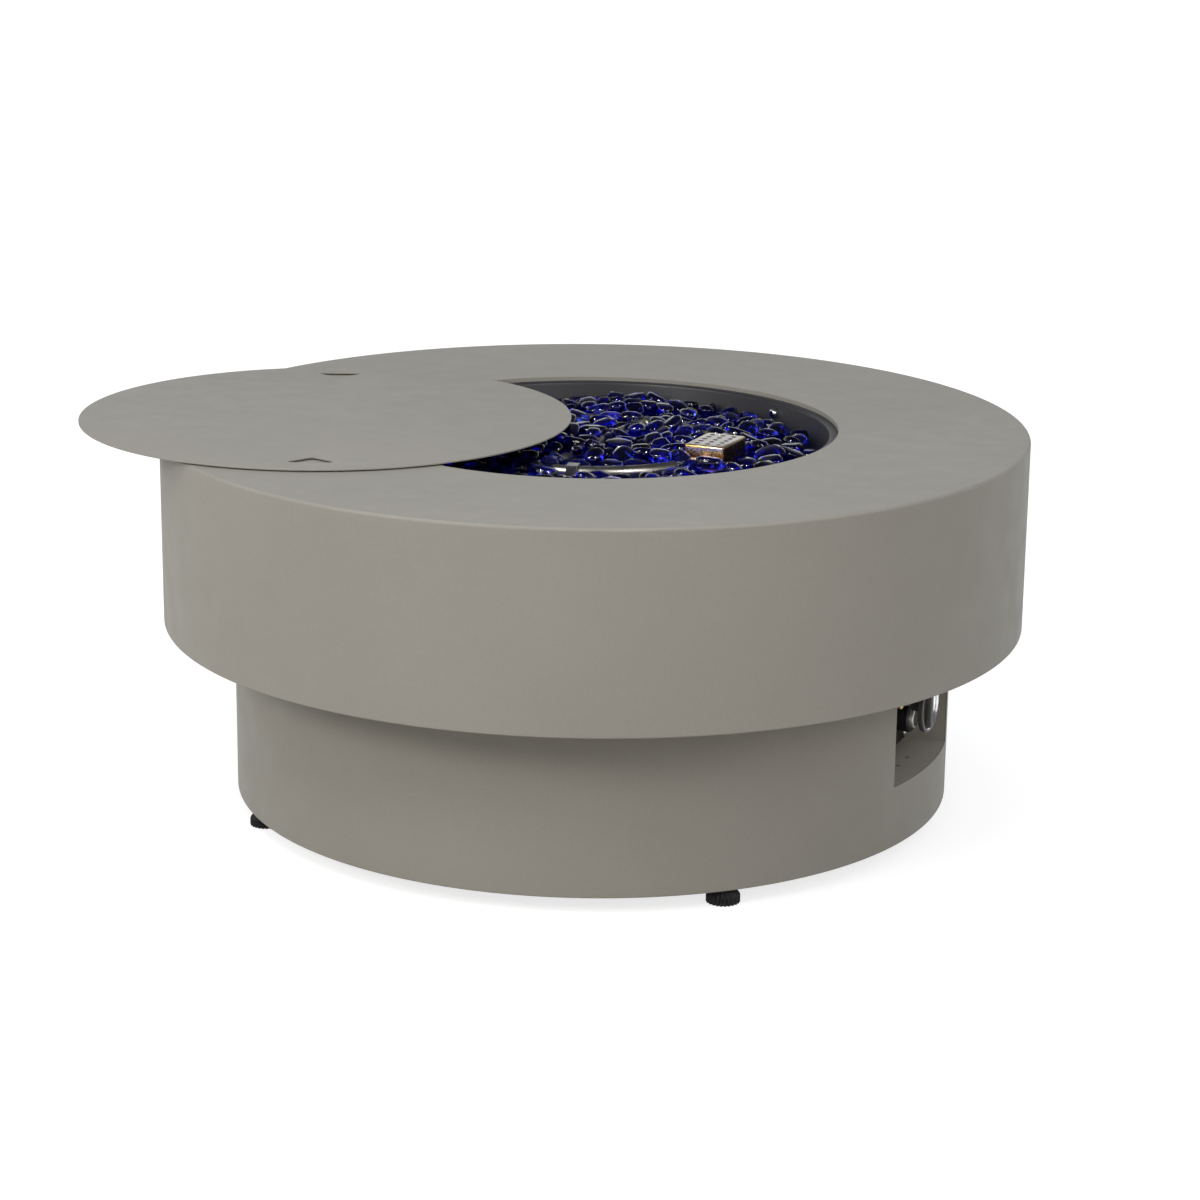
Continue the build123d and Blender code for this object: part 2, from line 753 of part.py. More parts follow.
def make_igniter_hood():
    """Perforated box over the igniter, with slots in its ends where the ring passes."""
    low, high = bowl_floor, hood_top
    x0, x1 = hood_x - hood_depth / 2, hood_x + hood_depth / 2
    half = hood_width / 2
    hood = block(x0, x1, -half, half, low, high)
    hood = fillet(hood.edges().filter_by(Axis.Z), hood_corner)
    hood -= block(x0 + hood_sheet, x1 - hood_sheet, -half + hood_sheet, half - hood_sheet,
                  low, high - hood_sheet)
    crest = ring_level + ring_tube / 2
    pass_x = math.sqrt(ring_radius ** 2 - half ** 2)
    slot_end = pass_x + ring_tube / 2 + hood_slot_gap
    hood -= block(x0 + hood_sheet, slot_end, -half, half, low, crest + hood_slot_gap)
    for i in range(hood_hole_rows):
        for j in range(hood_hole_columns):
            x = hood_x + (i - (hood_hole_rows - 1) / 2) * hood_hole_pitch_x
            y = (j - (hood_hole_columns - 1) / 2) * hood_hole_pitch_y
            hood -= upright(hood_hole, high - hood_sheet, high, x, y)
    return hood


def make_probe_bracket():
    """Small angle inside the box that holds the electrode and the thermocouple."""
    level = tab_level
    half = hood_width / 2 - hood_sheet - tab_end_gap
    back = probe_x + tab_depth / 2
    bracket = block(probe_x - tab_depth / 2, back, -half, half, level - tab_sheet, level)
    bracket += block(back - tab_sheet, back, -half, half, bowl_floor, level)
    for y, diameter in probe_places():
        bracket -= upright(diameter + 2 * thread_fit, level - tab_sheet, level, probe_x, y)
    return bracket


def probe_places():
    """Where the two probes stand, as (y, diameter)."""
    return [(probe_spacing / 2, electrode_ceramic), (-probe_spacing / 2, thermocouple_diameter)]


def make_electrode_ceramic():
    """Ceramic sleeve of the spark electrode."""
    y = probe_spacing / 2
    sleeve = upright(electrode_ceramic, probe_end, sleeve_tip, probe_x, y)
    sleeve += upright(ceramic_collar, tab_level, tab_level + ceramic_collar_height, probe_x, y)
    return sleeve - upright(electrode_rod + 2 * thread_fit, probe_end, sleeve_tip, probe_x, y)


def make_electrode_rod():
    """Spark rod, bent towards the ring at its tip."""
    y = probe_spacing / 2
    tip_x = ring_radius + ring_tube / 2 + spark_gap
    route = FilletPolyline((probe_x, y, probe_end), (probe_x, y, probe_tip - rod_tip_rise),
                           (tip_x, y, probe_tip), radius=rod_bend)
    section = Plane(origin=route @ 0, z_dir=route % 0) * Circle(electrode_rod / 2)
    return sweep(section, route)


def make_thermocouple():
    """Flame probe with a thin tip and a collar on the bracket."""
    y = -probe_spacing / 2
    probe = upright(thermocouple_diameter, probe_end, sleeve_tip, probe_x, y)
    probe += upright(thermocouple_collar, tab_level, tab_level + thermocouple_collar_height, probe_x, y)
    return probe + upright(thermocouple_tip, sleeve_tip, probe_tip, probe_x, y)


def swept_lead(points):
    """A round lead along straight runs joined by arcs."""
    route = FilletPolyline(*points, radius=lead_bend)
    section = Plane(origin=route @ 0, z_dir=route % 0) * Circle(lead_diameter / 2)
    return sweep(section, route)


def make_thermocouple_lead():
    """Copper lead from the valve's tap to the flame probe."""
    y = -probe_spacing / 2
    start = knob_y - valve_port_reach
    side = start - tap_lead_side
    dip = shield_top - tap_lead_dip
    return swept_lead([
        (valve_x, start, knob_z), (valve_x, side, knob_z), (probe_x + tap_lead_turn, side, dip),
        (probe_x, y, dip), (probe_x, y, probe_end)])


def make_igniter_lead():
    """Insulated lead from the igniter to the spark electrode."""
    y = probe_spacing / 2
    start = control_back - igniter_length
    dip = shield_top - spark_lead_dip
    return swept_lead([
        (start, igniter_y, igniter_z), (start - spark_lead_run, igniter_y, igniter_z),
        (probe_x + spark_lead_turn, igniter_y - spark_lead_side, dip),
        (probe_x, y, dip), (probe_x, y, probe_end)])


def glass_level(reach):
    """Level of the bed's smooth top at a radius; it rises to the ring and again to the hub."""
    rim = bowl_wall(glass_edge) - glass_clearance
    if reach > ring_radius:
        return glass_edge + glass_ring_rise * (rim - reach) / (rim - ring_radius)
    return glass_edge + glass_ring_rise + (glass_crown - glass_ring_rise) * (1 - reach / ring_radius)


def glass_stones():
    """Bevelled stones on a spiral over the bed, each turned and tipped another way."""
    stone = extrude(RegularPolygon(stone_size / 2, 6), stone_height, taper=stone_bevel)
    room = bowl_wall(glass_edge) - glass_clearance - stone_size / 2
    count = int(math.pi * (room / stone_spacing) ** 2)
    stones = []
    for i in range(count):
        reach = stone_spacing * math.sqrt((i + 0.5) / math.pi)
        lean = stone_tip * math.sin(i * stone_turn)
        place = polar(reach, i * stone_turn, glass_level(reach) + stone_proud - stone_height)
        stones.append(place * Rot(lean, lean / 2, 2 * i * stone_turn) * stone)
    return stones


def make_fire_glass():
    """Bed of loose glass that fills the bowl round the burner and is heaped in the middle."""
    low = bowl_floor + seat_gap
    corner = bowl_floor + bowl_corner
    hub = hub_diameter / 2 + glass_clearance
    bed = turned([
        (0, low), (floor_radius - bowl_corner, low), (bowl_wall(corner) - glass_clearance, corner),
        (bowl_wall(glass_edge) - glass_clearance, glass_edge), (ring_radius, glass_level(ring_radius)),
        (0, glass_level(0))])
    bed += glass_stones()
    room = ring_tube / 2 + glass_clearance
    bed -= Pos(0, 0, ring_level) * Torus(ring_radius, room)
    bed -= turned([(ring_radius - room, ring_level), (ring_radius + room, ring_level),
                   (ring_radius + room, table_height), (ring_radius - room, table_height)])
    bed -= upright(2 * hub, low, table_height)
    bed -= block(-room, room, -ring_radius, ring_radius, ring_level - room, table_height)
    x_room = hood_depth / 2 + glass_clearance
    y_room = hood_width / 2 + glass_clearance
    bed -= block(hood_x - x_room, hood_x + x_room, -y_room, y_room, low, table_height)
    leg_room = leg_width / 2 + glass_clearance
    for angle in leg_angles:
        bed -= Rot(0, 0, angle) * block(ring_radius, ring_radius + room + leg_foot, -leg_room, leg_room,
                                        low, table_height)
    return bed


def make_foot_pad():
    """Moulded foot with a scalloped grip, a sloped shoulder and a neck under the base."""
    radius = foot_pad_diameter / 2
    neck = foot_neck_diameter / 2
    top = foot_height - foot_stop_gap
    pad = turned([
        (0, 0), (radius - foot_edge, 0), (radius, foot_edge), (radius, foot_grip_height),
        (neck, top - foot_neck_height), (neck, top), (0, top)])
    scallop = upright(2 * foot_scallop_radius, 0, foot_grip_height + cut_over)
    for angle in spread(foot_scallops):
        pad -= polar(radius + foot_scallop_out, angle) * scallop
    return pad - upright(foot_stud_diameter + 2 * thread_fit, foot_stud_bury, top)


def make_foot_stud():
    """Threaded stud of one foot, from inside its pad up through the nut plate."""
    return upright(foot_stud_diameter, foot_stud_bury, foot_stud_bury + foot_stud_length)


def make_nut_plates():
    """Plates welded on the base's floor flange, which the studs screw into."""
    low = foot_height + base_sheet
    plate = block(-nut_plate_size / 2, nut_plate_size / 2, -nut_plate_size / 2, nut_plate_size / 2,
                  low, low + nut_plate_height)
    plate -= upright(foot_stud_diameter + 2 * running_fit, low, low + nut_plate_height)
    plate &= Pos(-foot_reach, 0, 0) * upright(2 * (base_inner - seat_gap), low, low + nut_plate_height)
    return [polar(foot_reach, angle) * plate for angle in foot_angles]


def lid_place(angle=0.0):
    """The parked lid's centre, turned to one of its own angles."""
    return Pos(lid_park_x, lid_park_y, 0) * Rot(0, 0, angle)


def make_lid():
    """Flat sheet lid with two three-cornered finger holes."""
    lid = lid_place() * upright(2 * lid_radius, lid_level, lid_level + lid_sheet)
    side = lid_radius - lid_hole_inset
    hole = make_face(Polyline(
        (side, -lid_hole_width / 2), (side, lid_hole_width / 2), (side - lid_hole_depth, 0), close=True))
    hole = fillet(hole.vertices(), lid_hole_corner)
    for angle in lid_hole_angles:
        lid -= lid_place(angle) * Pos(0, 0, lid_level) * extrude(hole, lid_sheet)
    return lid


def make_lid_bumpers():
    """Four thin pads under the lid, one on each side of each finger hole."""
    pad = upright(bumper_diameter, table_height, lid_level, lid_radius - bumper_inset)
    return [lid_place(angle + side * bumper_spread) * pad
            for angle in lid_hole_angles for side in (-1, 1)]


nodes = {
    "table_top": make_table_top(),
    "underside_panel": make_underside_panel(),
    "flange_screws": make_flange_screws(),
    "base_bolts": make_base_bolts(),
    "top_posts": make_top_posts(),
    "base_drum": make_base_drum(),
    "bay_tray": make_bay_tray(),
    "control_panel": make_control_panel(),
    "control_screws": make_control_screws(),
    "gas_valve": make_gas_valve(),
    "valve_nut": make_valve_nut(),
    "valve_stem": make_valve_stem(),
    "control_knob": make_control_knob(),
    "inlet_fitting": make_inlet_fitting(),
    "igniter_body": make_igniter_body(),
    "igniter_nut": make_igniter_nut(),
    "igniter_button": make_igniter_button(),
    "fire_bowl": make_fire_bowl(),
    "bowl_brackets": make_bowl_brackets(),
    "bowl_bolts": make_bowl_bolts(),
    "bowl_nuts": make_bowl_nuts(),
    "heat_shield": make_heat_shield(),
    "shield_spacers": make_shield_spacers(),
    "ring_burner": make_ring_burner(),
    "burner_legs": make_burner_legs(),
    "burner_locknut": make_burner_locknut(),
    "air_mixer": make_air_mixer(),
    "gas_tube": make_gas_tube(),
    "igniter_hood": make_igniter_hood(),
    "probe_bracket": make_probe_bracket(),
    "electrode_ceramic": make_electrode_ceramic(),
    "electrode_rod": make_electrode_rod(),
    "thermocouple": make_thermocouple(),
    "thermocouple_lead": make_thermocouple_lead(),
    "igniter_lead": make_igniter_lead(),
    "fire_glass": make_fire_glass(),
    "nut_plates": make_nut_plates(),
    "lid": make_lid(),
    "lid_bumpers": make_lid_bumpers(),
}
for number, angle in enumerate(foot_angles, 1):
    nodes[f"foot_pad_{number}"] = polar(foot_reach, angle) * make_foot_pad()
    nodes[f"foot_stud_{number}"] = polar(foot_reach, angle) * make_foot_stud()

os.makedirs("parts", exist_ok=True)
for name, shape in nodes.items():
    if isinstance(shape, list):
        shape = Compound(children=[Solid(piece.solid().wrapped) for piece in shape])
    export_step(shape, f"parts/{name}.step")
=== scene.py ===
import json
import math
import random

import bmesh
import bpy
import numpy as np
from mathutils import Euler, Matrix, Vector


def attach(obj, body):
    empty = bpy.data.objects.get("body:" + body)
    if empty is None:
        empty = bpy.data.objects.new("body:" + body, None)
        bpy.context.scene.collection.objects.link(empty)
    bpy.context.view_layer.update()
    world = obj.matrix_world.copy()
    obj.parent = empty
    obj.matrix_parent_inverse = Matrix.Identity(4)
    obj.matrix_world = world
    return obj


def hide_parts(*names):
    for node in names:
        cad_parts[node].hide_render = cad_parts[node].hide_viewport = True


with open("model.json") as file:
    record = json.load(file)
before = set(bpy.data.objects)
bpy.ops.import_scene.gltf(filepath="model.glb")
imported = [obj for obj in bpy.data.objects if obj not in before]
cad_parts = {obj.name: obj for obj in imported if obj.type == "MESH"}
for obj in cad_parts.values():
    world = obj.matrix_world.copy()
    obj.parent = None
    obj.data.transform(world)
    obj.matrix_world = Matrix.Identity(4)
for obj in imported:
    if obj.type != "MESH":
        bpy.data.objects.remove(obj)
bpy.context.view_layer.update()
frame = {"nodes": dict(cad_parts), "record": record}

# Sizes of the table in metres, with the same origin as the solids
ROUND = 224
SHEET = 0.0016
SHEET_ROUND = 0.0012
TABLE_TOP = 0.474
TOP_RADIUS = 0.5334
TOP_ROUND = 0.004
TOP_SHOULDER = 0.006
APRON_LEVEL = 0.238
APRON_RETURN = 0.022
OPENING_RADIUS = 0.2995
EDGE_STEP = 0.002

BASE_RADIUS = 0.447
BASE_LEVEL = 0.020
BASE_TOP_FLANGE = 0.032
BASE_FOOT_FLANGE = 0.046
BAY_WINDOW = ((0.385, -0.0985, 0.095), (0.47, 0.0985, 0.2363))

# Middle of the bay's two drain holes, and the level of the tray's underside
DRAIN_HOLES = ((0.4125, -0.018), (0.4125, 0.018))
TRAY_UNDERSIDE = 0.0935

BOWL_TOP = 0.468
BOWL_MOUTH = 0.289
BOWL_LEDGE = 0.024
BOWL_FLOOR = 0.394
BOWL_FLOOR_RADIUS = 0.276
BOWL_FLOOR_ROUND = 0.012
BOWL_SHEET = 0.0012
BOWL_DRAINS = 6
BOWL_DRAIN = 0.010
BOWL_DRAIN_REACH = 0.221

# The hub and the nipple are (diameter, foot, top)
RING_RADIUS = 0.150
RING_LEVEL = 0.446
RING_TUBE = 0.008
RING_PORTS = 24
RING_PORT = 0.003
HUB = (0.034, RING_LEVEL - 0.026, RING_LEVEL - 0.0005)
NIPPLE = (0.0213, 0.3628, RING_LEVEL - 0.01)

# The hood's corners in plan, its middle, and half its size each way
HOOD_LOW, HOOD_HIGH = (0.1345, -0.037), (0.1855, 0.037)
HOOD_MIDDLE = 0.160
HOOD_HALF = (0.0255, 0.037)
HOOD_TOP = 0.469
HOOD_SHEET = 0.0005
HOOD_HOLE = 0.0068
HOOD_HOLE_STEPS = (0.0138, 0.0126)
HOOD_SLOT_HIGH = (0.1553, 0.4549)
# Levels where the flame has coloured it, way along X of its outer side that is painted dark as painted shade,
# and share and level of its soot-dark inside
HOOD_HEAT_LEVELS = (HOOD_TOP, 0.450)
HOOD_SHADED_SIDE = (0.1838, 0.1853)
HOOD_INSIDE, HOOD_UNDERSIDE = 0.89, 0.4689

# Corners of a finger hole are (reach from the lid's middle, way aside)
LID_CENTRE = (-0.3119, -0.1189)
LID_RADIUS = 0.3036
LID_LEVEL = 0.4755
LID_SHEET = 0.002
LID_HOLE_TURNS = (-65, 115)
LID_HOLE = ((0.267, -0.0235), (0.267, 0.0235), (0.2605, 0.0275), (0.2375, 0.0), (0.2605, -0.0275))
LID_HOLE_ROUND = 0.0032
# How far a cutting shape passes the sheet that it cuts
CUTTER_REACH = 0.01

KNOB_PLACE = (0.4415, 0.016, 0.165)
BUTTON_PLACE = (0.406, 0.072, 0.129)
SCREW_FACE = 0.385
SCREW_SIDES = (-0.092, 0.092)
SCREW_LEVELS = (0.1015, 0.2298)
FOOT_REACH = 0.426
FOOT_TURNS = (45, 135, 225, 315)
FOOT_LOBES = 24

# Heap of glass: its level at the wall, its rise to the middle, and mounds as ((x, y), rise, spread)
HEAP_REACH, HEAP_EDGE, HEAP_RISE = 0.285, 0.4445, 0.0145
HEAP_MOUNDS = (((0.150, -0.045), 0.007, 0.075), ((-0.047, 0.240), 0.011, 0.12))
HEAP_DEPTH, HEAP_SLACK = 0.030, 0.004
# Where glass is scraped off the ring: turns in degrees, reaches and depth; bare ring has no glass on it
SCRAPED_TURNS, SCRAPED_REACHES, SCRAPED_DEPTH = (-80, -20), (0.150, 0.20), 0.008
BARE_TURNS, BARE_DEPTH = (-80, -28), 0.014
BED_HOLE, BED_WIDTH, BED_DEPTH = 0.003, 0.2775, 0.016
BED_RINGS = 26

# Loose glass: the seeds, half the length of a nugget, how far it tilts, and how close two can lie
GLASS_SEED = 41
SHAPE_SEED = 11
BED_SEED = 7
GLASS_REACH = 0.284
NUGGET_SIZES = (0.0115, 0.0175)
NUGGET_SHAPES = 9
NUGGET_TILT = 0.26
NUGGET_TOUCH, NUGGET_STACK = 0.88, 0.66
WALL_GAP = 0.005
CROWN = 0.6
MISSES_WHEN_FULL = 5000
GRID_CELL = 0.04

# Painted shadow under the base: ground under the middle of the base gets no glow out to the first reach, and
# all of it from the second
FLOOR_SIZE = 60
FLOOR_GLOW = 0.76
SHADOW_REACH, SHADOW_EDGE_REACH = 0.345, 0.360
FLOOR_GIVES_BACK = (0.44, 0.42, 0.39)
FLOOR_LOOKS = (0.42, 0.42, 0.42)
SKY_LIGHT = [(0.0, (0.16, 0.156, 0.152)), (0.8, (0.875, 0.90, 0.96))]
SKY_LOOKS = [(0.25, (1.0, 1.0, 1.0)), (0.34, (0.22, 0.225, 0.24)), (0.75, (0.06, 0.06, 0.065))]

# Each lamp is (name, place, size, watts, colour, whether only gloss shows it)
LAMPS = (
    ("front_light", (-0.9, -3.1, 1.9), 1.0, 30, (1.0, 0.97, 0.91), False),
    ("high_light", (-0.2, -2.1, 2.8), 0.8, 15.5, (1.0, 0.97, 0.91), False),
    ("left_light", (-2.2, -2.6, 2.0), 1.2, 11, (1.0, 0.98, 0.95), False),
    ("right_light", (2.4, -1.2, 1.5), 1.2, 11.5, (1.0, 0.96, 0.91), False),
    ("left_spark", (-0.9, -2.4, 2.6), 0.44, 55, (1.0, 0.98, 0.95), True),
    ("right_spark", (2.3, -1.7, 2.6), 0.44, 50, (1.0, 0.98, 0.95), True))
LAMP_AIM = (0, 0, 0.3)

CAMERA_PLACE = (1.4940, -3.3594, 1.2617)
CAMERA_TURN = math.radians(24) - 0.0027
CAMERA_TILT = math.pi / 2 - 0.2691
CAMERA_ROLL = 0.0118
CAMERA_LENS = 91.215
CAMERA_SENSOR = 36.0

# The part of a noise that holds nearly all of its values
NOISE_MIDDLE = (0.3, 0.7)
PEEL_DEPTH = 0.00006
MOULD_GRAIN, MOULD_DEPTH = 700.0, 0.00005
DRAWN_LINES = (1, 1, 14)

# Colours of heated stainless from the bare metal out to the hottest edge
HEAT_TINTS = [
    (0.50, (0.62, 0.60, 0.57)), (0.57, (0.62, 0.52, 0.34)), (0.61, (0.66, 0.36, 0.10)),
    (0.66, (0.30, 0.30, 0.52)), (0.71, (0.62, 0.44, 0.20)), (0.80, (0.55, 0.20, 0.05)),
    (0.92, (0.20, 0.09, 0.05))]
# Soot inside the hood; the same dark colour is painted shade on its outer side
SOOT_AND_SHADE = (0.075, 0.045, 0.02)
GLASS_TONES = [(0.34, (0.006, 0.006, 0.26)), (0.5, (0.024, 0.024, 0.76)), (0.66, (0.060, 0.13, 1.0))]
# Opaque nearly black blues that the bed shows as painted shade under the nuggets
DEEP_GLASS_SHADE_TONES = [(0.35, (0.002, 0.0015, 0.025)), (0.65, (0.010, 0.013, 0.22))]


# Nodes of the materials and of the sky

def new_finish(name, color, roughness, **sockets):
    """A material with one Principled shader and plain socket values."""
    material = bpy.data.materials.new(name)
    material.use_nodes = True
    shader = shader_of(material)
    shader.inputs["Base Color"].default_value = (*color, 1.0)
    shader.inputs["Roughness"].default_value = roughness
    for socket, value in sockets.items():
        shader.inputs[socket.replace("_", " ")].default_value = value
    return material


def shader_of(material):
    """The Principled shader of a material."""
    return material.node_tree.nodes["Principled BSDF"]


def add_node(owner, kind, **settings):
    """A new node for a material or for the sky."""
    node = owner.node_tree.nodes.new(kind)
    for key, value in settings.items():
        setattr(node, key, value)
    return node


def join(owner, source, target):
    """Links one node's output to another node's input."""
    owner.node_tree.links.new(source, target)


def feed(material, **outputs):
    """Leads node outputs to the shader's sockets; an underscore stands for a space."""
    for socket, output in outputs.items():
        join(material, output, shader_of(material).inputs[socket.replace("_", " ")])


def calc(owner, operation, *terms):
    """One step of arithmetic; each term is a number or another node's output."""
    node = add_node(owner, "ShaderNodeMath", operation=operation)
    for socket, term in zip(node.inputs, terms):
        if isinstance(term, (int, float)):
            socket.default_value = term
        else:
            join(owner, term, socket)
    return node.outputs[0]


def remap(owner, value, from_low, from_high, to_low=0.0, to_high=1.0):
    """Stretches one range of values over another."""
    node = add_node(owner, "ShaderNodeMapRange")
    limits = {"From Min": from_low, "From Max": from_high, "To Min": to_low, "To Max": to_high}
    for socket, limit in limits.items():
        node.inputs[socket].default_value = limit
    join(owner, value, node.inputs["Value"])
    return node.outputs["Result"]


def mix_colors(owner, factor, first, second):
    """Blend of two colours; each is a plain (r, g, b) or another node's output."""
    node = add_node(owner, "ShaderNodeMix", data_type="RGBA")
    join(owner, factor, node.inputs["Factor"])
    for socket, color in (("A", first), ("B", second)):
        if isinstance(color, tuple):
            node.inputs[socket].default_value = (*color, 1.0)
        else:
            join(owner, color, node.inputs[socket])
    return node.outputs["Result"]


def ramp(owner, factor, stops):
    """Colour ramp over a 0 to 1 factor; each stop is (position, (r, g, b))."""
    node = add_node(owner, "ShaderNodeValToRGB")
    elements = node.color_ramp.elements
    while len(elements) < len(stops):
        elements.new(0.5)
    for element, (position, color) in zip(elements, stops):
        element.position = position
        element.color = (*color, 1.0)
    join(owner, factor, node.inputs["Fac"])
    return node.outputs["Color"]


def noise(material, scale, detail, rough=0.55, stretch=(1, 1, 1)):
    """Noise on Object coordinates; scale is in waves per metre."""
    coords = add_node(material, "ShaderNodeTexCoord")
    mapping = add_node(material, "ShaderNodeMapping")
    mapping.inputs["Scale"].default_value = stretch
    texture = add_node(material, "ShaderNodeTexNoise")
    texture.inputs["Scale"].default_value = scale
    texture.inputs["Detail"].default_value = detail
    texture.inputs["Roughness"].default_value = rough
    join(material, coords.outputs["Object"], mapping.inputs["Vector"])
    join(material, mapping.outputs["Vector"], texture.inputs["Vector"])
    return texture.outputs["Fac"]


def two_tones(material, factor, color, amount):
    """From a darker to a lighter tone of one colour over the middle of a noise."""
    dark = tuple(c * (1 - amount) for c in color)
    light = tuple(min(1.0, c * (1 + amount)) for c in color)
    return ramp(material, factor, list(zip(NOISE_MIDDLE, (dark, light))))


def spread_values(material, factor, low, high):
    """Maps the middle of a noise to a range of values."""
    return remap(material, factor, *NOISE_MIDDLE, low, high)


def bump(material, height, distance, strength):
    """Normal of a surface with a small relief; distance is in metres."""
    node = add_node(material, "ShaderNodeBump")
    node.inputs["Strength"].default_value = strength
    node.inputs["Distance"].default_value = distance
    join(material, height, node.inputs["Height"])
    return node.outputs["Normal"]


def painted(name, color, roughness, grain=1400.0, amount=0.05, **sockets):
    """Sprayed coating: fine orange peel, a speckle of tone, and a slow drift of tone and of gloss."""
    material = new_finish(name, color, roughness, **sockets)
    drift = calc(material, "MULTIPLY", noise(material, 5.0, 5.0), 0.5)
    speckle = calc(material, "MULTIPLY_ADD", noise(material, 380.0, 2.0), 0.5, drift)
    gloss = noise(material, 23.0, 4.0)
    feed(material, Base_Color=two_tones(material, speckle, color, amount),
         Roughness=spread_values(material, gloss, roughness - 0.05, roughness + 0.06),
         Normal=bump(material, noise(material, grain, 2.0), PEEL_DEPTH, 0.6))
    return material


def brushed(name, color, roughness, grain=900.0, depth=0.00003, amount=0.12):
    """Bare metal with drawn lines along one direction and cloudy gloss."""
    material = new_finish(name, color, roughness, Metallic=1.0)
    lines = noise(material, grain, 2.0, 0.5, DRAWN_LINES)
    feed(material, Base_Color=two_tones(material, noise(material, 40.0, 5.0), color, amount),
         Roughness=spread_values(material, lines, roughness - 0.08, roughness + 0.1),
         Normal=bump(material, lines, depth, 0.5))
    return material


def moulded(name, color, roughness, **sockets):
    """Moulded plastic or rubber with a fine spark-eroded grain."""
    material = new_finish(name, color, roughness, **sockets)
    fine = noise(material, MOULD_GRAIN, 3.0)
    feed(material, Base_Color=two_tones(material, noise(material, 60.0, 4.0), color, 0.25),
         Roughness=spread_values(material, fine, roughness - 0.08, roughness + 0.08),
         Normal=bump(material, fine, MOULD_DEPTH, 0.6))
    return material


def heat_tinted_and_shaded_steel():
    """Thin stainless that the flame has coloured: straw, orange and blue to the edges, and soot inside; its
    outer side toward +X is painted dark as painted shade.
    """
    material = new_finish("heat_tinted_and_shaded_stainless", (0.6, 0.58, 0.55), 0.26, Metallic=1.0)
    coords = add_node(material, "ShaderNodeTexCoord")
    split = add_node(material, "ShaderNodeSeparateXYZ")
    join(material, coords.outputs["Object"], split.inputs["Vector"])
    x, y, z = (split.outputs[axis] for axis in "XYZ")

    def share_out(place, middle, half):
        """0 at the middle of the hood and 1 at its side."""
        distance = calc(material, "ABSOLUTE", calc(material, "SUBTRACT", place, middle))
        return calc(material, "DIVIDE", distance, half)

    edge = calc(material, "MAXIMUM",
                share_out(x, HOOD_MIDDLE, HOOD_HALF[0]), share_out(y, 0.0, HOOD_HALF[1]))
    heat = calc(material, "ADD", edge, remap(material, z, *HOOD_HEAT_LEVELS, 0.0, 0.55))
    wander = calc(material, "MULTIPLY_ADD", noise(material, 40.0, 0.5), 0.16, heat)
    tint = ramp(material, calc(material, "DIVIDE", wander, 1.8), HEAT_TINTS)
    # Painted shade: the outer side toward +X takes the dark soot colour
    shaded_side = remap(material, x, *HOOD_SHADED_SIDE)
    inside = calc(material, "LESS_THAN", edge, HOOD_INSIDE)
    under = calc(material, "LESS_THAN", z, HOOD_UNDERSIDE)
    soot_and_shade = calc(material, "MAXIMUM", shaded_side, calc(material, "MULTIPLY", inside, under))
    feed(material, Base_Color=mix_colors(material, soot_and_shade, tint, SOOT_AND_SHADE),
         Roughness=spread_values(material, noise(material, 800.0, 2.0), 0.2, 0.36),
         Normal=bump(material, noise(material, 45.0, 2.0), 0.0004, 0.4))
    return material


def cobalt_glass():
    """Tumbled clear blue glass: deep body colour that differs from nugget to nugget, and a wet gloss."""
    material = new_finish("cobalt_fire_glass", (0.008, 0.02, 0.5), 0.01, IOR=1.48, Transmission_Weight=1.0)
    ripple = noise(material, 70.0, 1.0)
    feed(material, Base_Color=ramp(material, noise(material, 30.0, 1.0), GLASS_TONES),
         Roughness=spread_values(material, ripple, 0.0, 0.015),
         Normal=bump(material, ripple, 0.0003, 0.2))
    return material


def glass_depth_painted_shade():
    """Painted shade for glass that lies too deep for light to come back: opaque, nearly black blue, with the
    lumps that lie below.
    """
    material = new_finish("deep_cobalt_glass_painted_shade", (0.003, 0.005, 0.045), 0.12)
    coords = add_node(material, "ShaderNodeTexCoord")
    lumps = add_node(material, "ShaderNodeTexVoronoi", feature="SMOOTH_F1")
    lumps.inputs["Scale"].default_value = 48.0
    join(material, coords.outputs["Object"], lumps.inputs["Vector"])
    rise = calc(material, "SUBTRACT", 1.0, lumps.outputs["Distance"])
    feed(material, Base_Color=ramp(material, noise(material, 30.0, 2.0), DEEP_GLASS_SHADE_TONES),
         Normal=bump(material, rise, 0.008, 0.8))
    return material


taupe = painted("taupe_powder_coat", (0.300, 0.287, 0.252), 0.55, amount=0.055, Specular_IOR_Level=0.3)
# The bay's coat is the same taupe, painted lighter as painted light in the shaded bay
bay_taupe_painted_lighter = painted("bay_powder_coat_painted_light", (0.40, 0.38, 0.335), 0.55, amount=0.055, Specular_IOR_Level=0.3)
enamel = painted("charcoal_bowl_enamel", (0.024, 0.024, 0.029), 0.42, grain=900.0, amount=0.15,
                 Specular_IOR_Level=0.35)
black_paint = painted("black_control_plate", (0.012, 0.012, 0.013), 0.42, grain=1100.0, amount=0.2)
zinc = brushed("zinc_plated_steel", (0.62, 0.61, 0.58), 0.38)
stainless = brushed("burner_stainless", (0.66, 0.65, 0.63), 0.24)
ring_steel = brushed("burner_ring_dulled", (0.30, 0.29, 0.27), 0.30, amount=0.3)
hood_steel = heat_tinted_and_shaded_steel()
chrome = brushed("polished_chrome", (0.78, 0.78, 0.79), 0.12, grain=400.0, depth=0.00001, amount=0.05)
brass = brushed("valve_brass", (0.72, 0.53, 0.24), 0.3)
copper = brushed("copper_lead", (0.70, 0.38, 0.25), 0.34)
aluminium = brushed("gas_tube_aluminium", (0.70, 0.71, 0.72), 0.36)
black_plastic = moulded("moulded_black_plastic", (0.018, 0.018, 0.020), 0.45)
ceramic = moulded("electrode_ceramic", (0.78, 0.75, 0.68), 0.35)
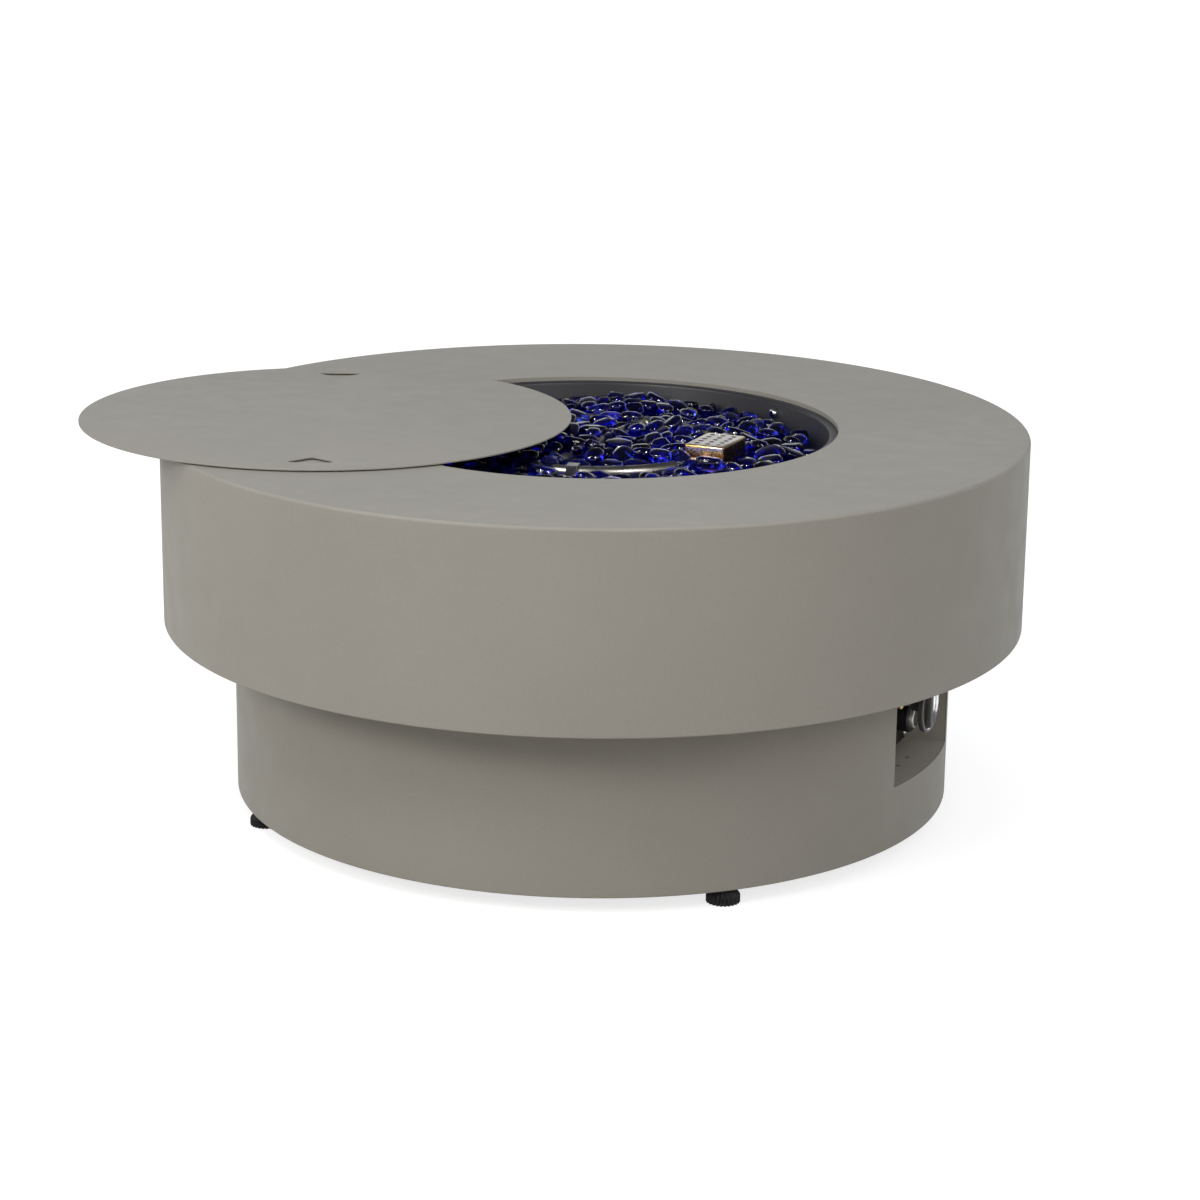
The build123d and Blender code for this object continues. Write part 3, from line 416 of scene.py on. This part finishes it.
rubber = moulded("black_rubber", (0.015, 0.015, 0.016), 0.7)
foot_black = moulded("black_foot_moulding", (0.008, 0.008, 0.010), 0.6, Specular_IOR_Level=0.25)
glass = cobalt_glass()
deep_glass_painted_shade = glass_depth_painted_shade()
knob_dark = moulded("knob_face_satin_black", (0.050, 0.047, 0.044), 0.5)
satin_silver = brushed("satin_silver", (0.85, 0.82, 0.78), 0.42, amount=0.06)

slot_finish = {
    "taupe_paint": taupe, "bowl_enamel": enamel, "black_paint": black_paint, "zinc_steel": zinc,
    "stainless": stainless, "chrome": chrome, "brass": brass, "copper": copper,
    "aluminium_tube": aluminium, "black_plastic": black_plastic, "ceramic": ceramic,
    "rubber": rubber, "blue_glass": glass}
node_finish = {"burner_legs": ring_steel, "bay_tray": bay_taupe_painted_lighter, "flange_screws": taupe}


def finish_solids():
    """Each solid of the frame gets its own finish, or the finish of its slot in the record."""
    for part in frame["record"]["subparts"]:
        node = frame["nodes"].get(part["node"])
        finish = node_finish.get(part["node"], slot_finish[part["material_slot"]])
        if node is None:
            continue
        if not node.data.materials:
            node.data.materials.append(finish)
        for slot in node.material_slots:
            slot.material = finish


# Modelling

def begin():
    """Leaves edit mode with nothing selected."""
    if bpy.context.object and bpy.context.object.mode != "OBJECT":
        bpy.ops.object.mode_set(mode="OBJECT")
    bpy.ops.object.select_all(action="DESELECT")


def pick(piece):
    """Makes one piece the active and only selected one."""
    begin()
    bpy.context.view_layer.objects.active = piece
    piece.select_set(True)


def edit(piece):
    """Opens a piece in edit mode."""
    pick(piece)
    bpy.ops.object.mode_set(mode="EDIT")


def set_place(piece):
    """Puts the object at the origin, unturned and unscaled, with its place in its mesh."""
    pick(piece)
    bpy.ops.object.transform_apply(location=True, rotation=True, scale=True)


def name_new(name):
    """Names the shape that was just added and sets its place in its mesh."""
    piece = bpy.context.object
    piece.name = name
    set_place(piece)
    return piece


def choose(piece, kind, wanted):
    """In edit mode, selects the verts, edges or faces that pass a test."""
    bpy.ops.mesh.select_all(action="DESELECT")
    bpy.context.tool_settings.mesh_select_mode = [kind == other for other in ("verts", "edges", "faces")]
    mesh = bmesh.from_edit_mesh(piece.data)
    for element in getattr(mesh, kind):
        element.select_set(bool(wanted(element)))
    bmesh.update_edit_mesh(piece.data)


def face_outward():
    """In edit mode, turns all normals outward and goes back to the object."""
    bpy.ops.mesh.select_all(action="SELECT")
    bpy.ops.mesh.normals_make_consistent(inside=False)
    bpy.ops.object.mode_set(mode="OBJECT")


def turned_shell(name, profile, closed=True, centre=(0.0, 0.0), segments=ROUND):
    """A ring drawn up from one circle: each (radius, level) is an extrusion that is then scaled."""
    begin()
    radius, level = profile[0]
    bpy.ops.mesh.primitive_circle_add(vertices=segments, radius=radius, fill_type="NOTHING",
                                      location=(*centre, level))
    piece = name_new(name)
    bpy.ops.object.mode_set(mode="EDIT")
    bpy.ops.mesh.select_all(action="SELECT")
    for next_radius, next_level in profile[1:] + (profile[:1] if closed else []):
        bpy.ops.mesh.extrude_region_move(TRANSFORM_OT_translate={"value": (0, 0, next_level - level)})
        scale = next_radius / radius
        if abs(scale - 1) > 1e-9:
            bpy.ops.transform.resize(value=(scale, scale, 1), center_override=(*centre, next_level))
        radius, level = next_radius, next_level
    bpy.ops.mesh.select_all(action="SELECT")
    bpy.ops.mesh.remove_doubles(threshold=0.00002)
    face_outward()
    return piece


def bevel_ring(piece, radius, level, width, segments=3):
    """Rounds the circular edge at a radius and a level."""
    def on_ring(vert):
        """Whether a corner lies on that circle."""
        reach = math.hypot(vert.co.x, vert.co.y)
        return abs(vert.co.z - level) < 0.0001 and abs(reach - radius) < 0.0004

    edit(piece)
    choose(piece, "edges", lambda edge: on_ring(edge.verts[0]) and on_ring(edge.verts[1]))
    bpy.ops.mesh.bevel(offset=width, segments=segments, affect="EDGES", profile=0.5)
    bpy.ops.object.mode_set(mode="OBJECT")


def apply_modifier(piece, kind, **settings):
    """Adds one modifier and makes its shape real."""
    modifier = piece.modifiers.new(kind.lower(), kind)
    for key, value in settings.items():
        setattr(modifier, key, value)
    pick(piece)
    bpy.ops.object.modifier_apply(modifier=modifier.name)


def soften_edges(piece, width):
    """Small round on every sharp edge."""
    apply_modifier(piece, "BEVEL", width=width, segments=3, limit_method="ANGLE",
                   angle_limit=math.radians(60))


def combine(piece, other, operation):
    """Adds another shape to a piece or cuts it out, and uses it up."""
    apply_modifier(piece, "BOOLEAN", object=other, operation=operation, solver="EXACT")
    bpy.data.objects.remove(other, do_unlink=True)


def cut_by(piece, cutter):
    """Takes a shape out of a piece."""
    combine(piece, cutter, "DIFFERENCE")


def new_box(name, low, high):
    """Box between two corners."""
    begin()
    middle = [(a + b) / 2 for a, b in zip(low, high)]
    bpy.ops.mesh.primitive_cube_add(size=1, location=middle, scale=[b - a for a, b in zip(low, high)])
    return name_new(name)


def new_bar(name, diameter, low, high, x=0.0, y=0.0, segments=24):
    """Upright round bar from one level to another."""
    begin()
    bpy.ops.mesh.primitive_cylinder_add(vertices=segments, radius=diameter / 2, depth=high - low,
                                        location=(x, y, (low + high) / 2))
    return name_new(name)


def close_ends(piece):
    """Fills the open ends of a turned piece."""
    edit(piece)
    bpy.ops.mesh.select_all(action="DESELECT")
    bpy.ops.mesh.select_non_manifold()
    bpy.ops.mesh.fill_holes(sides=0)
    face_outward()


def join_pieces(pieces):
    """Joins pieces into the first of them."""
    begin()
    for piece in pieces:
        piece.select_set(True)
    bpy.context.view_layer.objects.active = pieces[0]
    bpy.ops.object.join()
    return pieces[0]


def face_bay(piece, place):
    """Turns a piece made round the Z axis to look out of the bay, and sets it in its place."""
    piece.matrix_world = Matrix.Translation(place) @ Matrix.Rotation(math.pi / 2, 4, "Y")
    set_place(piece)


def smooth(piece, degrees=35):
    """Smooth shading, apart from edges sharper than an angle."""
    pick(piece)
    bpy.ops.object.shade_smooth_by_angle(angle=math.radians(degrees))


def round_spot(reach, degrees):
    """Place on a circle round the table's axis."""
    angle = math.radians(degrees)
    return reach * math.cos(angle), reach * math.sin(angle)


def hand_over(piece, finish, slot, body, *nodes):
    """Gives a finished piece its material, its body and the solids that it stands for."""
    piece.data.materials.clear()
    piece.data.materials.append(finish)
    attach(piece, body)
    if nodes:
        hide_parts(*nodes)


def make_table_top():
    """Top sheet with its lip, rounded shoulder, apron and the return at the apron's foot."""
    under = TABLE_TOP - SHEET
    inner = TOP_RADIUS - SHEET
    lip = OPENING_RADIUS + SHEET
    piece = turned_shell("top_shell", [
        (OPENING_RADIUS, BOWL_TOP), (OPENING_RADIUS, TABLE_TOP - EDGE_STEP), (OPENING_RADIUS, TABLE_TOP),
        (OPENING_RADIUS + EDGE_STEP, TABLE_TOP), (TOP_RADIUS - TOP_SHOULDER, TABLE_TOP),
        (TOP_RADIUS, TABLE_TOP), (TOP_RADIUS, TABLE_TOP - TOP_SHOULDER),
        (TOP_RADIUS, APRON_LEVEL + EDGE_STEP), (TOP_RADIUS, APRON_LEVEL),
        (TOP_RADIUS - EDGE_STEP, APRON_LEVEL),
        (TOP_RADIUS - APRON_RETURN, APRON_LEVEL), (TOP_RADIUS - APRON_RETURN, APRON_LEVEL + SHEET),
        (inner, APRON_LEVEL + SHEET), (inner, under), (lip, under), (lip, BOWL_TOP)])
    bevel_ring(piece, TOP_RADIUS, TABLE_TOP, TOP_ROUND, 5)
    bevel_ring(piece, inner, under, TOP_ROUND - SHEET)
    bevel_ring(piece, OPENING_RADIUS, TABLE_TOP, SHEET_ROUND)
    bevel_ring(piece, TOP_RADIUS, APRON_LEVEL, SHEET_ROUND)
    smooth(piece)
    hand_over(piece, taupe, "taupe_paint", "table", "table_top")


def make_base_drum():
    """Base wall with its two flanges and the window of the control bay."""
    ceiling = APRON_LEVEL + SHEET
    inner = BASE_RADIUS - SHEET
    piece = turned_shell("base_shell", [
        (BASE_RADIUS - EDGE_STEP, BASE_LEVEL), (BASE_RADIUS, BASE_LEVEL),
        (BASE_RADIUS, BASE_LEVEL + EDGE_STEP),
        (BASE_RADIUS, ceiling), (inner - BASE_TOP_FLANGE, ceiling),
        (inner - BASE_TOP_FLANGE, ceiling - SHEET), (inner, ceiling - SHEET), (inner, BASE_LEVEL + SHEET),
        (inner - BASE_FOOT_FLANGE, BASE_LEVEL + SHEET), (inner - BASE_FOOT_FLANGE, BASE_LEVEL)])
    bevel_ring(piece, BASE_RADIUS, BASE_LEVEL, SHEET_ROUND)
    cut_by(piece, new_box("window", *BAY_WINDOW))
    smooth(piece)
    hand_over(piece, taupe, "taupe_paint", "table", "base_drum")


def make_lid():
    """Flat lid with two bent finger holes that have rounded corners, and a softened rim."""
    piece = new_bar("lid_plate", 2 * LID_RADIUS, LID_LEVEL, LID_LEVEL + LID_SHEET, *LID_CENTRE,
                    segments=ROUND)
    for turn in LID_HOLE_TURNS:
        begin()
        bpy.ops.mesh.primitive_circle_add(vertices=len(LID_HOLE), radius=0.02, fill_type="NGON",
                                          location=(0, 0, 0))
        hole = bpy.context.object
        for vert, corner in zip(hole.data.vertices, LID_HOLE):
            vert.co = (*corner, 0.0)
        edit(hole)
        bpy.ops.mesh.select_all(action="SELECT")
        bpy.ops.mesh.bevel(offset=LID_HOLE_ROUND, segments=4, affect="VERTICES")
        bpy.ops.mesh.select_all(action="SELECT")
        bpy.ops.mesh.extrude_region_move(TRANSFORM_OT_translate={"value": (0, 0, 2 * CUTTER_REACH)})
        face_outward()
        hole.matrix_world = (Matrix.Translation((*LID_CENTRE, LID_LEVEL - CUTTER_REACH))
                             @ Matrix.Rotation(math.radians(turn), 4, "Z"))
        set_place(hole)
        cut_by(piece, hole)
    soften_edges(piece, 0.0005)
    smooth(piece, 20)
    hand_over(piece, taupe, "taupe_paint", "lid", "lid")


def make_fire_bowl():
    """Pressed bowl: ledge under the opening, tapered wall, rounded foot and a drained floor."""
    piece = turned_shell("bowl_shell", [
        (BOWL_MOUTH + BOWL_LEDGE, BOWL_TOP), (BOWL_MOUTH + 0.004, BOWL_TOP), (BOWL_MOUTH, BOWL_TOP),
        (BOWL_MOUTH - 0.0007, BOWL_TOP - 0.004), (BOWL_FLOOR_RADIUS, BOWL_FLOOR), (0.012, BOWL_FLOOR)],
        closed=False)
    bevel_ring(piece, BOWL_MOUTH, BOWL_TOP, 0.0022, 4)
    bevel_ring(piece, BOWL_FLOOR_RADIUS, BOWL_FLOOR, BOWL_FLOOR_ROUND, 6)
    edit(piece)
    face_outward()
    upward = sum(face.normal.z for face in piece.data.polygons)
    apply_modifier(piece, "SOLIDIFY", thickness=BOWL_SHEET, offset=-1.0 if upward > 0 else 1.0)
    drains = [new_bar("drain", BOWL_DRAIN, BOWL_FLOOR - CUTTER_REACH, BOWL_FLOOR + CUTTER_REACH,
                      *round_spot(BOWL_DRAIN_REACH, 30 + i * 360 / BOWL_DRAINS), 20)
              for i in range(BOWL_DRAINS)]
    cut_by(piece, join_pieces(drains))
    smooth(piece)
    hand_over(piece, enamel, "bowl_enamel", "table", "fire_bowl")


def make_ring_burner():
    """Ring and cross tube of the burner with its hub, nipple and a row of ports on top."""
    begin()
    bpy.ops.mesh.primitive_torus_add(major_radius=RING_RADIUS, minor_radius=RING_TUBE, major_segments=144,
                                     minor_segments=24, location=(0, 0, RING_LEVEL))
    ring = name_new("burner_ring")
    begin()
    bpy.ops.mesh.primitive_cylinder_add(vertices=24, radius=RING_TUBE * 0.98, depth=2 * RING_RADIUS,
                                        location=(0, 0, RING_LEVEL), rotation=(math.pi / 2, 0, 0))
    combine(ring, name_new("cross_tube"), "UNION")
    combine(ring, new_bar("hub", *HUB, segments=32), "UNION")
    combine(ring, new_bar("nipple", *NIPPLE, segments=32), "UNION")
    ports = [new_bar("port", RING_PORT, RING_LEVEL + 0.004, RING_LEVEL + 0.012,
                     *round_spot(RING_RADIUS, 7.5 + i * 360 / RING_PORTS), 10) for i in range(RING_PORTS)]
    cut_by(ring, join_pieces(ports))
    smooth(ring, 40)
    hand_over(ring, ring_steel, "stainless", "table", "ring_burner")


def make_igniter_hood():
    """Perforated box: folded sheet with soft corners, open below, and 15 holes in its lid."""
    (x0, y0), (x1, y1) = HOOD_LOW, HOOD_HIGH
    piece = new_box("hood_box", (x0, y0, BOWL_FLOOR), (x1, y1, HOOD_TOP))
    edit(piece)
    choose(piece, "faces", lambda face: face.normal.z < -0.9)
    bpy.ops.mesh.delete(type="ONLY_FACE")
    choose(piece, "edges", lambda edge: max(v.co.z for v in edge.verts) > HOOD_TOP - 0.001)
    bpy.ops.mesh.bevel(offset=0.0025, segments=4, affect="EDGES", profile=0.5)
    bpy.ops.object.mode_set(mode="OBJECT")
    apply_modifier(piece, "SOLIDIFY", thickness=HOOD_SHEET, offset=-1.0)
    step_x, step_y = HOOD_HOLE_STEPS
    holes = [new_bar("hole", HOOD_HOLE, HOOD_TOP - 0.006, HOOD_TOP + 0.004,
                     HOOD_MIDDLE + i * step_x, j * step_y, 20)
             for i in (-1, 0, 1) for j in (-2, -1, 0, 1, 2)]
    cut_by(piece, join_pieces(holes))
    slot_x, slot_top = HOOD_SLOT_HIGH
    cut_by(piece, new_box("ring_slot", (x0 + 0.004, y0 - CUTTER_REACH, BOWL_FLOOR - CUTTER_REACH),
                          (slot_x, y1 + CUTTER_REACH, slot_top)))
    smooth(piece)
    hand_over(piece, hood_steel, "stainless", "table", "igniter_hood")


def glass_nuggets():
    """A few tumbled nugget shapes: pillows between a ball and a block, some with a flattened crown."""
    shapes = []
    for k in range(NUGGET_SHAPES):
        begin()
        bpy.ops.mesh.primitive_cube_add(size=2)
        ball = bpy.context.object
        edit(ball)
        bpy.ops.mesh.select_all(action="SELECT")
        bpy.ops.mesh.subdivide(number_cuts=2)
        bpy.ops.transform.tosphere(value=1.0)
        bpy.ops.transform.vertex_random(offset=0.06, uniform=0.5, normal=0.5, seed=SHAPE_SEED + k)
        bpy.ops.object.mode_set(mode="OBJECT")
        points = np.array([v.co[:] for v in ball.data.vertices])
        faces = np.array([f.vertices[:] for f in ball.data.polygons])
        squareness = (1.0, 0.72, 0.85)[k % 3]
        points = np.sign(points) * np.abs(points) ** squareness
        points /= np.abs(points).max(axis=0)
        above = points[:, 2] > CROWN
        points[above, 2] = CROWN + (points[above, 2] - CROWN) * (1.0, 0.3)[k % 2]
        shapes.append((points, faces))
        bpy.data.objects.remove(ball, do_unlink=True)
    return shapes


def heap_level(x, y):
    """Top of the glass: high in the middle, by the hood and at the back, scraped off the ring in front."""
    reach = math.hypot(x, y)
    level = HEAP_EDGE + HEAP_RISE * max(0.0, 1 - (reach / HEAP_REACH) ** 2) ** 0.6
    turn = math.degrees(math.atan2(y, x))
    if SCRAPED_TURNS[0] < turn < SCRAPED_TURNS[1] and SCRAPED_REACHES[0] < reach < SCRAPED_REACHES[1]:
        level -= SCRAPED_DEPTH
    for (mound_x, mound_y), rise, spread in HEAP_MOUNDS:
        level += rise * max(0.0, 1 - math.hypot(x - mound_x, y - mound_y) / spread)
    return level


def make_glass_bed():
    """Lumpy bed under the loose nuggets, out to the bowl's wall, with painted shade in the gaps between them.
    """
    profile = []
    for i in range(BED_RINGS + 1):
        reach = BED_HOLE + BED_WIDTH * i / BED_RINGS
        profile.append((reach, heap_level(-reach, 0.0) - BED_DEPTH))
    piece = turned_shell("glass_bed_painted_shade", profile, closed=False, segments=96)
    edit(piece)
    bpy.ops.mesh.select_all(action="SELECT")
    bpy.ops.transform.vertex_random(offset=0.003, uniform=0.2, normal=0.8, seed=BED_SEED)
    bpy.ops.object.mode_set(mode="OBJECT")
    smooth(piece, 80)
    hand_over(piece, deep_glass_painted_shade, "blue_glass", "table")
    return piece


def rest_level(grid, key, x, y, size, level):
    """Level at which a nugget comes to rest on those that lie near it."""
    for i in (-1, 0, 1):
        for j in (-1, 0, 1):
            for near_x, near_y, near_z, near_size in grid.get((key[0] + i, key[1] + j), ()):
                gap = math.hypot(near_x - x, near_y - y)
                span = (near_size + size) * NUGGET_TOUCH
                if gap < span:
                    level = max(level, near_z + math.sqrt(span * span - gap * gap) * NUGGET_STACK)
    return level


def lay_nuggets(rng):
    """Places of the nuggets, dropped one by one until the heap is full; the hood and the ring stay clear."""
    grid = {}
    laid = []
    misses = 0
    while misses < MISSES_WHEN_FULL:
        reach = GLASS_REACH * math.sqrt(rng.random())
        turn = rng.uniform(-math.pi, math.pi)
        x, y = reach * math.cos(turn), reach * math.sin(turn)
        size = rng.uniform(*NUGGET_SIZES)
        if size * 1.1 > BOWL_MOUTH - WALL_GAP - reach:
            continue
        top = heap_level(x, y)
        key = (int(x // GRID_CELL), int(y // GRID_CELL))
        z = rest_level(grid, key, x, y, size, top - HEAP_DEPTH)
        pad = size * 0.8
        in_hood = (HOOD_LOW[0] - pad < x < HOOD_HIGH[0] + pad
                   and HOOD_LOW[1] - pad < y < HOOD_HIGH[1] + pad)
        on_ring = (abs(reach - RING_RADIUS) < RING_TUBE + size * 0.6
                   and BARE_TURNS[0] < math.degrees(turn) < BARE_TURNS[1])
        if z + size * 0.5 > top + HEAP_SLACK or in_hood or (on_ring and z > RING_LEVEL - BARE_DEPTH):
            misses += 1
            continue
        grid.setdefault(key, []).append((x, y, z, size))
        laid.append((x, y, z, size))
    return laid


def make_fire_glass():
    """Loose nuggets in four quarters, over their bed."""
    rng = random.Random(GLASS_SEED)
    shapes = glass_nuggets()
    quarters = {k: ([], [], 0) for k in range(4)}
    for x, y, z, size in lay_nuggets(rng):
        points, faces = shapes[rng.randrange(len(shapes))]
        scale = size * np.array((rng.uniform(1.05, 1.4), rng.uniform(0.78, 0.98), rng.uniform(0.52, 0.75)))
        turn = Euler((rng.gauss(0, NUGGET_TILT), rng.gauss(0, NUGGET_TILT), rng.uniform(0, 6.283)))
        placed = (points * scale) @ np.array(turn.to_matrix()).T + np.array((x, y, z))
        k = (x > 0) + 2 * (y > 0)
        verts, polys, count = quarters[k]
        verts.append(placed)
        polys.append(faces + count)
        quarters[k] = (verts, polys, count + len(points))
    for k, (verts, polys, _) in quarters.items():
        mesh = bpy.data.meshes.new(f"glass_nuggets_{k + 1}")
        mesh.from_pydata(np.concatenate(verts).tolist(), [], np.concatenate(polys).tolist())
        mesh.update()
        piece = bpy.data.objects.new(mesh.name, mesh)
        bpy.context.collection.objects.link(piece)
        smooth(piece, 80)
        hand_over(piece, glass, "blue_glass", "table")
    bed = make_glass_bed()
    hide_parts("fire_glass")


def make_control_knob():
    """Turned knob: a dark disc on a narrow neck, with a bright wall and one groove round its dish."""
    piece = turned_shell("knob_body", [
        (0.004, -0.024), (0.007, -0.024), (0.009, -0.022), (0.009, -0.010), (0.033, -0.006), (0.033, -0.001),
        (0.032, 0.0), (0.029, 0.0), (0.0270, -0.0020), (0.0264, -0.0026), (0.024, -0.005), (0.004, -0.005)],
        closed=False, segments=80)
    close_ends(piece)
    grip = new_box("grip", (-0.027, -0.005, -0.006), (0.027, 0.005, 0.002))
    soften_edges(grip, 0.0018)
    for finish in (chrome, knob_dark):
        piece.data.materials.append(finish)
        grip.data.materials.append(finish)
    for polygon in piece.data.polygons:
        reach = math.hypot(polygon.center.x, polygon.center.y)
        dish_wall = 0.0241 < reach < 0.0289 and -0.0049 < polygon.center.z < -0.0001
        groove = 0.0264 < reach < 0.0270
        polygon.material_index = 0 if dish_wall and not groove else 1
    for polygon in grip.data.polygons:
        polygon.material_index = 1
    join_pieces([piece, grip])
    face_bay(piece, KNOB_PLACE)
    smooth(piece, 25)
    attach(piece, "control_knob")
    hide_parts("control_knob")


def make_igniter_button():
    """Push button: bright turned side, dark slightly domed face, and its stem."""
    piece = turned_shell("button_cap", [
        (0.0002, -0.0227), (0.006, -0.0227), (0.006, -0.0107), (0.013, -0.0107), (0.013, -0.002),
        (0.0125, -0.0008), (0.011, -0.0005), (0.0105, -0.0012), (0.006, -0.0004), (0.0002, 0.0)],
        closed=False, segments=64)
    close_ends(piece)
    for finish in (satin_silver, knob_dark):
        piece.data.materials.append(finish)
    for polygon in piece.data.polygons:
        polygon.material_index = 1 if math.hypot(polygon.center.x, polygon.center.y) < 0.0108 else 0
    face_bay(piece, BUTTON_PLACE)
    smooth(piece, 25)
    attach(piece, "igniter_button")
    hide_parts("igniter_button")


def make_bay_screws():
    """Four pan-head screws with a cross recess, through the control plate."""
    screws = []
    for y in SCREW_SIDES:
        for z in SCREW_LEVELS:
            screw = turned_shell("bay_screws", [
                (0.001, 0.003), (0.003, 0.0027), (0.0043, 0.0019), (0.005, 0.0007), (0.005, 0.0),
                (0.0025, 0.0), (0.0025, -0.0065), (0.001, -0.0065)], closed=False, segments=32)
            close_ends(screw)
            for along, across in ((0.0024, 0.0005), (0.0005, 0.0024)):
                cut_by(screw, new_box("slot", (-along, -across, 0.0014), (along, across, 0.004)))
            face_bay(screw, (SCREW_FACE, y, z))
            screws.append(screw)
    piece = join_pieces(screws)
    smooth(piece, 30)
    hand_over(piece, zinc, "zinc_steel", "table", "control_screws")


def make_drain_bushes():
    """Two short rubber spouts under the drain holes of the bay's floor; their dark rubber bores are put there
    as painted shade, so that the holes look dark.
    """
    profile = [(radius, TRAY_UNDERSIDE - drop) for radius, drop in (
        (0.0036, 0.0), (0.0062, 0.0), (0.0062, 0.0015), (0.0048, 0.0025), (0.0044, 0.016), (0.0034, 0.016))]
    piece = join_pieces([turned_shell("drain_bushes_for_shade", profile, centre=centre, segments=32)
                         for centre in DRAIN_HOLES])
    smooth(piece)
    hand_over(piece, rubber, "rubber", "table")


def make_feet():
    """Moulded levelling feet: a grip of deep scallops, a sloped shoulder and a bore for the stud."""
    steps = 4
    segments = FOOT_LOBES * steps
    for number, turn in enumerate(FOOT_TURNS, 1):
        centre = round_spot(FOOT_REACH, turn)
        piece = turned_shell(f"foot_grip_{number}", [
            (0.0002, 0.0), (0.0194, 0.0), (0.020, 0.0006), (0.020, 0.0090), (0.0192, 0.0104),
            (0.0135, 0.0172), (0.013, 0.0180), (0.013, 0.0197), (0.00515, 0.0197), (0.00515, 0.0098),
            (0.0002, 0.0098)],
            closed=False, centre=centre, segments=segments)
        close_ends(piece)

        def in_scallop(vert, phases):
            """Whether a corner of the grip lies in a hollow between two lobes."""
            across = vert.co.xy - Vector(centre)
            place = round(math.atan2(across.y, across.x) / math.tau * segments) % steps
            return across.length > 0.0185 and vert.co.z < 0.0110 and place in phases

        edit(piece)
        for phases, pinch in (((2,), 0.88), ((1, 3), 0.93)):
            choose(piece, "verts", lambda vert: in_scallop(vert, phases))
            bpy.ops.transform.resize(value=(pinch, pinch, 1), center_override=(*centre, 0.0))
        bpy.ops.object.mode_set(mode="OBJECT")
        smooth(piece, 40)
        hand_over(piece, foot_black, "black_plastic", f"foot_{number}", f"foot_pad_{number}")


# Stage, light and camera

def looked_at(owner):
    """1 for rays that look at the stage, straight, in a mirror or through glass; 0 for rays of light."""
    path = add_node(owner, "ShaderNodeLightPath")
    total = path.outputs["Is Camera Ray"]
    for other in ("Is Glossy Ray", "Is Transmission Ray"):
        total = calc(owner, "MAXIMUM", total, path.outputs[other])
    return total


def make_floor():
    """Pale floor that looks white and keeps the shadow, with a painted shadow where the glow stops under the
    base; it gives back a weaker light.
    """
    begin()
    bpy.ops.mesh.primitive_plane_add(size=FLOOR_SIZE, location=(0, 0, 0))
    floor = bpy.context.object
    floor.name = "studio_floor"
    material = new_finish("pale_floor", FLOOR_LOOKS, 0.9, Specular_IOR_Level=0.0, Emission_Color=(1, 1, 1, 1))
    seen = looked_at(material)
    coords = add_node(material, "ShaderNodeTexCoord")
    away = add_node(material, "ShaderNodeVectorMath", operation="LENGTH")
    join(material, coords.outputs["Object"], away.inputs[0])
    # Painted shadow: the glow is cut out in a disc under the base
    lit = remap(material, away.outputs["Value"], SHADOW_REACH, SHADOW_EDGE_REACH, 0.0, FLOOR_GLOW)
    feed(material, Base_Color=mix_colors(material, seen, FLOOR_GIVES_BACK, FLOOR_LOOKS),
         Emission_Strength=calc(material, "MULTIPLY", seen, lit))
    floor.data.materials.append(material)


def make_sky():
    """Soft sky light from above; to the eye, a white backdrop that ends under a dim studio ceiling."""
    world = bpy.data.worlds.new("soft_sky")
    bpy.context.scene.world = world
    world.use_nodes = True
    coords = add_node(world, "ShaderNodeTexCoord")
    split = add_node(world, "ShaderNodeSeparateXYZ")
    join(world, coords.outputs["Generated"], split.inputs["Vector"])
    height = split.outputs["Z"]
    tone = mix_colors(world, looked_at(world), ramp(world, height, SKY_LIGHT), ramp(world, height, SKY_LOOKS))
    join(world, tone, world.node_tree.nodes["Background"].inputs["Color"])


def soft_light(name, place, size, power, color, only_gloss):
    """Round lamp that is aimed at the table."""
    lamp = bpy.data.lights.new(name, "AREA")
    lamp.shape = "DISK"
    lamp.size = size
    lamp.energy = power
    lamp.color = color
    lamp_object = bpy.data.objects.new(name, lamp)
    bpy.context.collection.objects.link(lamp_object)
    lamp_object.location = place
    lamp_object.visible_diffuse = not only_gloss
    aim = Vector(LAMP_AIM) - Vector(place)
    lamp_object.rotation_euler = aim.to_track_quat("-Z", "Y").to_euler()


def make_lights():
    """All the lamps of the stage."""
    for lamp in LAMPS:
        soft_light(*lamp)


def make_camera():
    """Camera fitted to the photograph's ellipses, 24 degrees round from the Y axis."""
    camera = bpy.data.cameras.new("photo_camera")
    camera.lens = CAMERA_LENS
    camera.sensor_width = CAMERA_SENSOR
    camera_object = bpy.data.objects.new("photo_camera", camera)
    bpy.context.collection.objects.link(camera_object)
    turn = (Matrix.Rotation(CAMERA_TURN, 4, "Z") @ Matrix.Rotation(CAMERA_TILT, 4, "X")
            @ Matrix.Rotation(CAMERA_ROLL, 4, "Z"))
    camera_object.matrix_world = Matrix.Translation(CAMERA_PLACE) @ turn
    bpy.context.scene.camera = camera_object


finish_solids()
make_table_top()
make_base_drum()
make_lid()
make_fire_bowl()
make_ring_burner()
make_igniter_hood()
make_fire_glass()
make_control_knob()
make_igniter_button()
make_bay_screws()
make_drain_bushes()
make_feet()
make_floor()
make_sky()
make_lights()
make_camera()
bpy.context.scene.view_settings.view_transform = "Standard"
